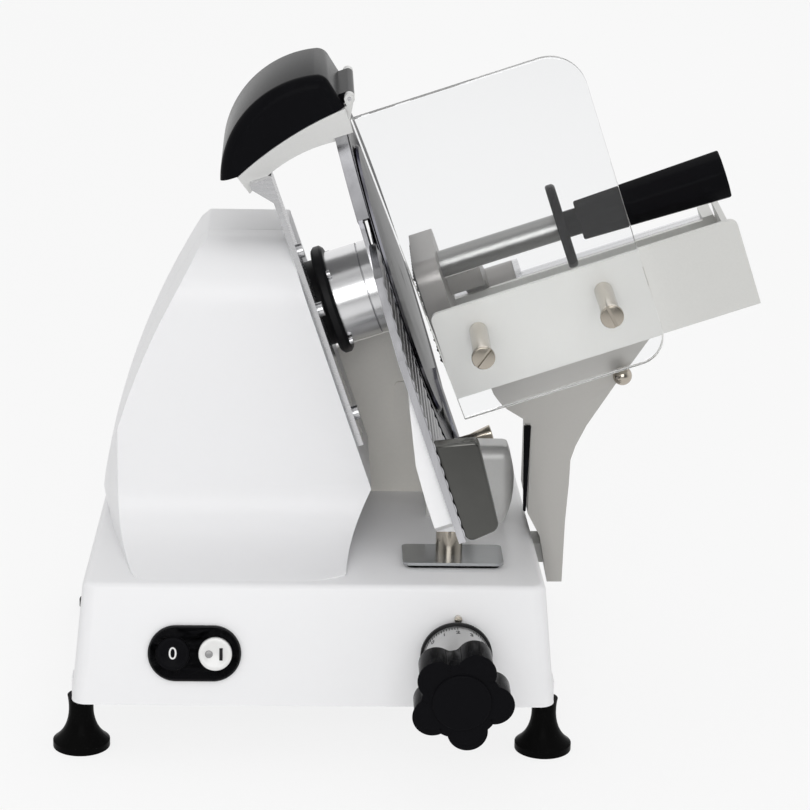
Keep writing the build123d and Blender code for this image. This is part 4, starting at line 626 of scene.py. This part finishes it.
select_in(knob, "EDGE", in_hollow)
bpy.ops.mesh.edges_select_sharp(sharpness=math.radians(hollow_sharp))
mark_upright(knob, in_hollow)
bpy.ops.mesh.bevel(offset=hollow_round * mm, segments=5, affect="EDGES", clamp_overlap=False)
leave_edit()
soften(knob, lambda corner: corner.z > knob_length - touch, rim_round, 6)
soften(knob, lambda corner: corner.z < touch, back_round, 2)
carry(knob, facing_frame(knob_x, knob_back_y, knob_z))
hand_over(knob, black_gloss, "thickness_dial", ["thickness_knob"])

knob_face = start_disc("knob_face", face_radius, knob_length - face_rise, knob_length + face_rise)
soften(knob_face, lambda corner: corner.z > knob_length + face_rise - touch, face_round, 4)
carry(knob_face, facing_frame(knob_x, knob_back_y, knob_z))
hand_over(knob_face, black_gloss, "thickness_dial")

# %% [markdown]
# Behind the knob sits the dial. The numbers are cut from flat text, made into
# meshes and set round the drum, each on its own tangent. The marks between them
# are one short bar, copied round the drum in edit mode.

# %% Dial rim, numbers and marks
drum_radius, drum_mark_y = 22.0, -7.0
number_count, number_step, number_first = 14, 24, 2
number_size, number_thick, number_shift = 6.2, 0.15, -4.0
mark_count, mark_places, mark_size, mark_shift = 70, 75, (0.5, 3.0, 0.3), 2.2
rim_radius, rim_thick, rim_back_y, drum_rim_round = 23.8, 3.4, 2.2, 0.7


def tangent_frame(angle, depth):
    """On the drum, with z pointing out of it and y pointing back."""
    out = Vector((math.sin(angle), 0, math.cos(angle)))
    origin = place(knob_x, depth, knob_z) + out * drum_radius * mm
    return frame_of(out.cross(front), along_y, out, origin)


def sign(name, words, size, thick, frame_matrix):
    """Text as a closed mesh, centred in its frame."""
    bpy.ops.object.select_all(action="DESELECT")
    bpy.ops.object.text_add(location=(0, 0, 0))
    text = bpy.context.object
    text.data.body = words
    text.data.size = size * mm
    text.data.extrude = thick * mm
    text.data.align_x = "CENTER"
    text.data.align_y = "CENTER"
    bpy.ops.object.convert(target="MESH")
    text = bpy.context.object
    text.name = name
    carry(text, frame_matrix)
    return text


numbers = []
for index in range(number_count):
    angle = math.radians(number_step * (index - number_first))
    numbers.append(sign("dial_number", str(index), number_size, number_thick,
                        tangent_frame(angle, drum_mark_y + number_shift)))
mark = start_block("dial_marks", mark_size, (0, 0, drum_radius))
edit_all(mark)
for index in range(1, mark_count):
    bpy.ops.mesh.duplicate()
    bpy.ops.transform.rotate(value=math.radians(360 / mark_places), orient_axis="Y",
                             center_override=(0, 0, 0))
leave_edit()
mark.location = place(knob_x, drum_mark_y + mark_shift, knob_z)
join_all([mark, *numbers])
hand_over(mark, black_matt, "thickness_dial")

drum_rim = start_disc("dial_rim", rim_radius, 0, rim_thick, sides=96)
soften(drum_rim, lambda corner: abs(math.hypot(corner.x, corner.y) - rim_radius) < touch, drum_rim_round, 3)
carry(drum_rim, facing_frame(knob_x, rim_back_y, knob_z))
hand_over(drum_rim, black_matt, "thickness_dial")

# %% [markdown]
# The switch is an oval black moulding with two round buttons. A box with its
# four corner edges fully rounded gives the oval, and two round bars cut the
# holes. The buttons are dished, as a fingertip expects, and carry the common
# signs for off and on.

# %% Switch
switch_x, switch_rise, stop_x, start_x = -78.6, 34.8, -92.8, -64.9
hole_radius, hole_reach = 11.4, 5.0
oval_length, oval_height, oval_thickness, oval_round, flat_end = 61.4, 37.0, 2.5, 1.1, 0.05
button_radius, button_low, button_high, button_round = 11.0, -4.0, 5.5, 1.1
dish_edge, dish_slope, dish_depth = 2.2, 1.2, 0.6
oval = start_block("switch_oval", (oval_length, oval_height, oval_thickness), (0, 0, oval_thickness / 2))
select_in(oval, "EDGE", lambda corner: False)
mark_upright(oval, lambda corner: True)
bpy.ops.mesh.bevel(offset=(oval_height / 2 - flat_end) * mm, segments=24, affect="EDGES", clamp_overlap=False)
leave_edit()
soften(oval, lambda corner: corner.z > oval_thickness - touch, oval_round, 4)
for x in (stop_x, start_x):
    hole = start_disc("hole", hole_radius, -hole_reach, hole_reach)
    hole.location.x = (x - switch_x) * mm
    combine(oval, hole, "DIFFERENCE")
carry(oval, panel_frame(switch_x, switch_rise))
hand_over(oval, black_gloss, "machine")


def dished_button(name, x, finish, body, node):
    """A round button with a rounded rim and a sunk middle."""
    button = start_disc(name, button_radius, button_low, button_high)
    soften(button, lambda corner: corner.z > button_high - touch, button_round, 3)
    select_in(button, "FACE", lambda corner: corner.z > button_high - touch)
    bpy.ops.mesh.inset(thickness=dish_edge * mm)
    bpy.ops.mesh.inset(thickness=dish_slope * mm, depth=-dish_depth * mm)
    leave_edit()
    carry(button, panel_frame(x, switch_rise))
    hand_over(button, finish, body, [node])


dished_button("off_cap", stop_x, black_gloss, "off_button", "stop_button")
dished_button("on_cap", start_x, white_plastic, "on_button", "start_button")

# %% [markdown]
# The signs stand a hair above the dished faces, as printed signs do. Off is a
# zero from text, on is a plain bar, and beside the bar sits a small lens.

# %% Signs on the buttons
sign_height, off_size, off_thick = 4.95, 11.5, 0.2
bar_size, bar_shift, bar_lift, bar_round = (2.2, 8.2, 0.5), 3.8, 0.05, 0.15
lens_radius, lens_sunk, lens_rise, lens_shift = 2.6, 0.5, 0.7, -4.2
off_sign = sign("off_sign", "0", off_size, off_thick,
                panel_frame(stop_x, switch_rise) @ Matrix.Translation((0, 0, sign_height * mm)))
hand_over(off_sign, white_plastic, "off_button")
on_sign = start_block("on_sign", bar_size, (bar_shift, 0, sign_height + bar_lift))
soften_sharp(on_sign, bar_round, 2)
carry(on_sign, panel_frame(start_x, switch_rise))
hand_over(on_sign, black_matt, "on_button")
lens = start_disc("on_lens", lens_radius, sign_height - lens_sunk, sign_height + lens_rise, sides=40)
soften(lens, lambda corner: corner.z > sign_height, lens_rise, 4)
lens.location.x = lens_shift * mm
carry(lens, panel_frame(start_x, switch_rise))
hand_over(lens, lens_plastic, "on_button")

# %% [markdown]
# The clear guard is a sheet of acrylic with polished round edges. Its outline is
# a box with one corner moved along the slope and the two outer corners rounded.
# Its smoothing angle is small, because an edge that is smoothed into the face
# would bend the light there as a lens does.
# Two slotted screws hold it, each made from a round bar with the slot cut in.

# %% Clear guard and its screws
guard_left_top, guard_left_low, guard_right, guard_low, guard_high = 160.0, 168.5, 304.2, 203.0, 410.5
guard_front, guard_back = -22.5, -17.5
guard_high_round, guard_low_round, guard_edge_round, flat_smooth = 24.0, 18.0, 0.9, 8
guard = start_block("clear_guard", (guard_right - guard_left_top, guard_back - guard_front,
                                    guard_high - guard_low),
                    ((guard_right + guard_left_top) / 2, (guard_front + guard_back) / 2,
                     (guard_high + guard_low) / 2))
select_in(guard, "EDGE", lambda corner: corner.x < guard_left_top + near and corner.z < guard_low + near)
bpy.ops.transform.translate(value=((guard_left_low - guard_left_top) * mm, 0, 0))
leave_edit()
soften(guard, lambda corner: corner.x > guard_right - near and corner.z > guard_high - near,
       guard_high_round, 16)
soften(guard, lambda corner: corner.x > guard_right - near and corner.z < guard_low + near,
       guard_low_round, 14)
soften_sharp(guard, guard_edge_round, 3, sharp=60)
carry(guard, slope_frame(0, 0, 0))
hand_over(guard, clear_acrylic, "carriage", ["tray_guard"], smooth=flat_smooth)

screw_places = ((192.0, 239.5, -35.0), (276.5, 240.0, 28.0))
screw_radius, screw_head, screw_round, shank_radius, shank_end, shank_sunk = 7.5, 3.0, 0.8, 3.0, 57.5, 0.5
slot_width, slot_length, slot_depth = 2.1, 20.0, 3.4
screws = []
for u, w, slot_turn in screw_places:
    screw = start_disc("slotted_screw", screw_radius, 0, screw_head, sides=48)
    soften(screw, lambda corner: corner.z > screw_head - touch, screw_round, 3)
    slot = start_block("slot", (slot_width, slot_length, slot_depth), (0, 0, screw_head))
    slot.rotation_euler.z = math.radians(slot_turn)
    combine(screw, slot, "DIFFERENCE")
    shank = start_disc("shank", shank_radius, -shank_end, shank_sunk, sides=24)
    combine(screw, shank, "UNION")
    carry(screw, frame_of(right, up, front, tilted(u, guard_front, w)))
    screws.append(screw)
hand_over(join_all(screws), nickel_plate, "carriage", ["guard_screws"])

# %% [markdown]
# The screw that holds the blade cover flares to a dished end. A thin bar has its
# end face widened, set in and sunk, so that the rim catches the light. Its place
# is read from the CAD screw that it stands for.

# %% Flared cover screw
cover_screw_small, cover_screw_large, cover_screw_length, flare_start = 3.8, 6.0, 23.0, 8.0
screw_rim, screw_dish_slope, screw_dish_depth, flared_round = 1.3, 1.0, 1.6, 0.3
flare = cover_screw_large / cover_screw_small
flared = start_disc("flared_screw", cover_screw_small, 0, cover_screw_length, sides=48)
edit_all(flared, "EDGE")
bpy.ops.mesh.bisect(plane_co=(0, 0, flare_start * mm), plane_no=(0, 0, 1))
leave_edit()
select_in(flared, "FACE", lambda corner: corner.z > cover_screw_length - touch)
bpy.ops.transform.resize(value=(flare, flare, 1))
bpy.ops.mesh.inset(thickness=screw_rim * mm)
bpy.ops.mesh.inset(thickness=screw_dish_slope * mm, depth=-screw_dish_depth * mm)
leave_edit()
soften_sharp(flared, flared_round, 2)
screw_mesh = nodes["cover_knob"]
screw_box = [screw_mesh.matrix_world @ Vector(corner) for corner in screw_mesh.bound_box]
screw_middle = sum(screw_box, Vector()) / len(screw_box)
screw_end = max((screw_mesh.matrix_world @ vertex.co).dot(along_u) for vertex in screw_mesh.data.vertices)
screw_foot = screw_middle + along_u * (screw_end - cover_screw_length * mm - screw_middle.dot(along_u))
carry(flared, frame_of(along_y, along_w, along_u, screw_foot))
hand_over(flared, nickel_plate, "cover_screw", ["cover_knob"])

# %% [markdown]
# The food press ends in rows of points that keep the food from slipping. One
# small pyramid is enough: it is copied along and up, and the copies are joined.

# %% Press teeth
head_left_u, head_front_y, head_back_y, head_low_w, head_high_w = 162.0, 75.0, 170.0, 205.0, 281.0
tooth_height, tooth_pitch, tooth_radius, tooth_tip, tooth_round = 2.4, 7.4, 3.9, 0.5, 0.25
tooth_margin, first_row, tooth_sunk = 6.0, 8.0, 0.2
bpy.ops.object.select_all(action="DESELECT")
bpy.ops.mesh.primitive_cone_add(vertices=4, radius1=tooth_radius * mm, radius2=tooth_tip * mm,
                                depth=tooth_height * mm, location=(0, 0, tooth_height / 2 * mm),
                                rotation=(0, 0, math.radians(45)))
tooth = start_piece("press_teeth", (1, 1, 1))
soften_sharp(tooth, tooth_round, 1, sharp=20)
columns = int((head_back_y - head_front_y - 2 * tooth_margin) / tooth_pitch)
rows = int((head_high_w - head_low_w - 2 * tooth_margin) / tooth_pitch)
teeth = []
for column in range(columns + 1):
    for row in range(rows + 1):
        copy = bpy.data.objects.new("tooth", tooth.data.copy())
        bpy.context.scene.collection.objects.link(copy)
        root = tilted(head_left_u + tooth_sunk, head_front_y + tooth_margin + column * tooth_pitch,
                      head_low_w + first_row + row * tooth_pitch)
        copy.matrix_world = frame_of(along_y, -along_w, -along_u, root)
        teeth.append(copy)
bpy.data.objects.remove(tooth)
join_all(teeth)
teeth[0].name = "press_teeth"
hand_over(teeth[0], black_matt, "press")

# %% [markdown]
# The hand shield is a thick disc with a round rim. The grip is a ten-sided bar
# that widens to its end, with a round neck that meets the shield.

# %% Hand shield and grip
handle_y, handle_w, shield_radius, shield_start, shield_thick = 122.0, 265.0, 29.0, 260.0, 6.6
shield_round, shield_back_round = 2.6, 1.6
grip_start, grip_end, grip_small, grip_large, grip_round = 275.0, 377.0, 14.0, 17.0, 1.3
neck_radius, neck_sunk = 9.0, 2.0
shield = start_disc("hand_disc", shield_radius, 0, shield_thick, sides=96)
soften(shield, lambda corner: corner.z > shield_thick - touch, shield_round, 5)
soften(shield, lambda corner: corner.z < touch, shield_back_round, 4)
carry(shield, axle_frame(shield_start, handle_y, handle_w))
hand_over(shield, black_gloss, "press", ["hand_shield"])

grip_length = grip_end - grip_start
grip = start_disc("faceted_grip", grip_small, 0, grip_length, sides=10)
select_in(grip, "FACE", lambda corner: corner.z > grip_length - touch)
bpy.ops.transform.resize(value=(grip_large / grip_small, grip_large / grip_small, 1))
leave_edit()
soften_sharp(grip, grip_round, 3, sharp=30)
neck = start_disc("neck", neck_radius, shield_start + shield_thick - grip_start, neck_sunk)
combine(grip, neck, "UNION")
carry(grip, axle_frame(grip_start, handle_y, handle_w))
hand_over(grip, black_gloss, "press", ["handle_grip"])

# %% [markdown]
# Two small black things finish the upper part: a clip on the strut and a strip
# along the arm, which narrows to its foot. Each starts as a box, and its edges
# are rounded so that they catch the light.

# %% Clip and arm strip
clip_size, clip_middle, clip_round = (5.0, 14.0, 13.0), (88.5, 115.0, 197.0), 1.2
strip_size, strip_middle, strip_round, strip_foot_share = (5.0, 3.0, 62.0), (143.6, 109.0, 168.0), 0.7, 0.4
clip = start_block("strut_clip", clip_size, clip_middle)
soften_sharp(clip, clip_round, 3)
carry(clip, slope_frame(0, 0, 0))
hand_over(clip, black_matt, "machine")

strip_low_z = strip_middle[2] - strip_size[2] / 2
strip = start_block("arm_strip", strip_size, strip_middle)
select_in(strip, "FACE", lambda corner: corner.z < strip_low_z + near)
bpy.ops.transform.resize(value=(strip_foot_share, 1, 1))
leave_edit()
soften_sharp(strip, strip_round, 3)
carry(strip, frame_of(right, along_y, up, place(0, 0, 0)))
hand_over(strip, black_gloss, "carriage")

# %% [markdown]
# A casting has no knife edges. Where a CAD part carries one that shows, a copy
# of its mesh is merged, its flat faces are made whole, and only the outer edges
# of the side that shows are rounded. The copy then stands for the part.

# %% Softened castings
merge_distance, flat_turn = 0.002, 0.6
arm_front_y, arm_round = 110.1, 4.0
tower_front_y, tower_foot_z, tower_left_x, tower_round = 148.0, 118.5, -149.0, 5.0
rear_face_y, rear_foot_z, rear_round = 204.9, 118.0, 6.0
head_limit_y, head_limit_z, head_round = 171.0, 200.0, 2.5
deck_z, deck_front_y, deck_round = 116.5, 20.0, 5.0
tray_front_y, tray_round = 39.1, 1.2


def drawn(point):
    """A point of a placed mesh, in millimetres from the front of the base."""
    return (point + Vector((middle_x, middle_y, 0))) / mm


def soft_copy(node_name, name, test, width, steps=4, sharp=30):
    """Copy a CAD mesh and round its sharp edges whose ends pass the test."""
    copy = bpy.data.objects.new(name, nodes[node_name].data.copy())
    bpy.context.scene.collection.objects.link(copy)
    edit_all(copy, "EDGE")
    bpy.ops.mesh.remove_doubles(threshold=merge_distance * mm)
    bpy.ops.mesh.dissolve_limited(angle_limit=math.radians(flat_turn))
    bpy.ops.mesh.customdata_custom_splitnormals_clear()
    bpy.ops.mesh.select_all(action="DESELECT")
    bpy.ops.mesh.edges_select_sharp(sharpness=math.radians(sharp))
    bpy.ops.object.mode_set(mode="OBJECT")
    for edge in copy.data.edges:
        if edge.select:
            edge.select = all(test(drawn(copy.data.vertices[index].co)) for index in edge.vertices)
    bpy.ops.object.mode_set(mode="EDIT")
    bpy.ops.mesh.bevel(offset=width * mm, segments=steps, affect="EDGES", clamp_overlap=True)
    leave_edit()
    return copy


def on_tower_front(end):
    """Nearer than tower_front_y, higher than tower_foot_z and right of tower_left_x."""
    return end.y < tower_front_y and end.z > tower_foot_z and end.x > tower_left_x


soft_arm = soft_copy("carriage_arm", "soft_arm", lambda end: end.y < arm_front_y, arm_round)
hand_over(soft_arm, arm_cast, "carriage", ["carriage_arm"])
soft_tower = soft_copy("motor_tower", "soft_tower", on_tower_front, tower_round, steps=5, sharp=25)
hand_over(soft_tower, white_enamel, "machine", ["motor_tower"])
soft_rear = soft_copy("tower_rear_cover", "soft_rear_cover",
                      lambda end: end.y > rear_face_y and end.z > rear_foot_z, rear_round, steps=5)
hand_over(soft_rear, white_enamel, "machine", ["tower_rear_cover"])
soft_head = soft_copy("press_head", "soft_press_head",
                      lambda end: end.y < head_limit_y and end.z > head_limit_z, head_round)
hand_over(soft_head, taupe_cast, "press", ["press_head"])
soft_base = soft_copy("base_casting", "soft_base",
                      lambda end: end.z > deck_z and end.y < deck_front_y, deck_round, steps=5)
hand_over(soft_base, white_enamel, "machine", ["base_casting"])
soft_tray = soft_copy("food_tray", "soft_tray", lambda end: end.y < tray_front_y, tray_round)
hand_over(soft_tray, satin_cast, "carriage", ["food_tray"], smooth=flat_smooth)

# %% [markdown]
# The sharpener's cover is a smooth black dome. It starts as a wide round bar that
# lies across the machine. One plane cuts its right side, and a fan of planes
# makes the corner left there round. Both rims are rounded next, while the
# outline is still simple. Only then is the arch of the bracket cut out of its
# underside, and the dome hollowed.

# %% Domed sharpener cover
dome_u, dome_w, dome_reach, cover_front, cover_back = 124.5, 345.0, 70.8, -112.0, -212.0
corner_u, corner_w, side_foot_u, side_foot_w, cover_foot_w = 145.014, 412.865, 151.0, 388.4, 366.4
round_middle, round_radius, round_cuts = Vector((137.58, 405.40, 0)), 9.0, 9
side_turn, crown_turn = 13.75, 77.78
arch_radius, arch_u, arch_w, arch_sides = 242.464, 171.859, 146.835, 720
cover_rim_round, wall, end_wall, cut_over = 8.4, 3.0, 6.0, 5.0
link_size, link_middle = (6.5, 6.6, 71.2), (152.0, 392.2, -162.0)
barrel_radius, barrel_u, barrel_w, barrel_back, barrel_front = 3.5, 155.5, 392.0, -197.6, -126.4
side_corner = Vector((corner_u, corner_w, 0))
side_out = Vector((corner_w - side_foot_w, side_foot_u - corner_u, 0)).normalized()


def across_bar(name, radius, u, w, low, high, sides=160):
    """A round bar in the cover's frame, where x is u, y is w and z points at the operator."""
    bar = start_disc(name, radius, low, high, sides)
    bar.location = (u * mm, w * mm, 0)
    carry(bar, Matrix.Identity(4))
    return bar


dome = across_bar("domed_cover", dome_reach, dome_u, dome_w, cover_back, cover_front)
keep_behind(dome, side_corner * mm, side_out)
for cut in range(1, round_cuts):
    turn = math.radians(side_turn + (crown_turn - side_turn) * cut / round_cuts)
    outward = Vector((math.cos(turn), math.sin(turn), 0))
    keep_behind(dome, (round_middle + outward * round_radius) * mm, outward)
soften(dome, lambda corner: corner.z > cover_front - touch, cover_rim_round, 8)
soften(dome, lambda corner: corner.z < cover_back + touch, cover_rim_round, 8)
keep_behind(dome, Vector((0, cover_foot_w, 0)) * mm, Vector((0, -1, 0)))
arch = across_bar("arch", arch_radius, arch_u, arch_w, cover_back - cut_over, cover_front + cut_over,
                  arch_sides)
combine(dome, arch, "DIFFERENCE")
hollow = across_bar("hollow", dome_reach - wall, dome_u, dome_w, cover_back + end_wall,
                    cover_front - end_wall)
keep_behind(hollow, side_corner * mm - side_out * wall * mm, side_out)
combine(dome, hollow, "DIFFERENCE")
combine(dome, start_block("link", link_size, link_middle), "UNION")
combine(dome, across_bar("barrel", barrel_radius, barrel_u, barrel_w, barrel_back, barrel_front, 40), "UNION")
carry(dome, frame_of(along_u, along_w, -along_y, tilted(0, 0, 0)))
hand_over(dome, black_gloss, "sharpener_lid", ["sharpener_cover"])

# %% [markdown]
# The gauge plate is cast with low round ribs that let moist food slide. The
# plate is a box, cut round by the blade's circle and bevelled at its upper front
# corner. One rib is a round bar of which a plane keeps a flat cap, copied upwards
# in edit mode and cut the same way.

# %% Gauge plate
cut_u, gauge_thick, gauge_front, gauge_end_y, gauge_low, gauge_high = 147.0, 5.5, -45.0, 110.0, 133.0, 312.0
blade_y, blade_w, gauge_arc, arc_start, arc_end = 165.0, 252.0, 131.0, 100.0, 180.0
bevel_points = ((gauge_front, 260.0), (-5.0, 304.0), (40.0, gauge_high))
rib_pitch, rib_height, rib_radius, rib_root, first_rib_share = 8.7, 0.8, 9.5, 0.2, 0.73


def trim_gauge(piece):
    """Cut the blade's circle and the two slants of the upper front corner."""
    circle = start_disc("circle", gauge_arc, arc_start, arc_end, sides=160)
    carry(circle, axle_frame(0, blade_y, blade_w))
    combine(piece, circle, "DIFFERENCE")
    for (near_y, near_w), (far_y, far_w) in zip(bevel_points, bevel_points[1:]):
        run = Vector((far_y - near_y, far_w - near_w)).normalized()
        keep_behind(piece, tilted(cut_u, near_y, near_w), along_w * run.x - along_y * run.y)


gauge = start_block("ribbed_plate",
                    (gauge_thick - rib_height, gauge_end_y - gauge_front, gauge_high - gauge_low),
                    (cut_u - gauge_thick / 2 - rib_height / 2, (gauge_end_y + gauge_front) / 2,
                     (gauge_high + gauge_low) / 2))
carry(gauge, slope_frame(0, 0, 0))
trim_gauge(gauge)
ribs = start_disc("ribs", rib_radius, 0, gauge_end_y - gauge_front, sides=96)
keep_behind(ribs, (0, (rib_radius - rib_height - rib_root) * mm, 0), (0, -1, 0))
carry(ribs, frame_of(along_w, along_u, along_y,
                     tilted(cut_u - rib_radius, gauge_front, gauge_low + rib_pitch * first_rib_share)))
edit_all(ribs)
for index in range(1, int((gauge_high - gauge_low) / rib_pitch)):
    bpy.ops.mesh.duplicate()
    bpy.ops.transform.translate(value=along_w * rib_pitch * mm)
leave_edit()
trim_gauge(ribs)
# The plate's steel carries painted reflection streaks.
hand_over(join_all([gauge, ribs]), painted_reflection_steel, "thickness_gauge", ["gauge_plate"])

# %% [markdown]
# The dark polished block at the gauge's front corner is a box with slanted ends
# and generous round edges.

# %% Corner block
block_width, block_depth, block_height, block_u, block_w = 24.0, 10.5, 69.0, 158.5, 166.0
foot_shift_u, foot_shift_w, head_shift_u, head_shift_w = -1.5, 2.5, 3.2, -6.0
outer_foot_round, inner_foot_round, outer_head_round, block_front_round = 5.0, 6.0, 3.5, 1.8
block = start_block("corner_block", (block_width, block_depth, block_height),
                    (block_u, gauge_front + block_depth / 2, block_w))
select_in(block, "EDGE", lambda corner: corner.x > block_u and corner.z < block_w)
bpy.ops.transform.translate(value=(foot_shift_u * mm, 0, foot_shift_w * mm))
leave_edit()
select_in(block, "EDGE", lambda corner: corner.x > block_u and corner.z > block_w)
bpy.ops.transform.translate(value=(head_shift_u * mm, 0, head_shift_w * mm))
leave_edit()
soften(block, lambda corner: corner.x > block_u and corner.z < block_w, outer_foot_round, 5)
soften(block, lambda corner: corner.x < block_u and corner.z < block_w, inner_foot_round, 5)
soften(block, lambda corner: corner.x > block_u and corner.z > block_w, outer_head_round, 4)
soften(block, lambda corner: corner.y < gauge_front + touch, block_front_round, 4)
carry(block, slope_frame(0, 0, 0))
hand_over(block, dark_polish, "thickness_gauge")
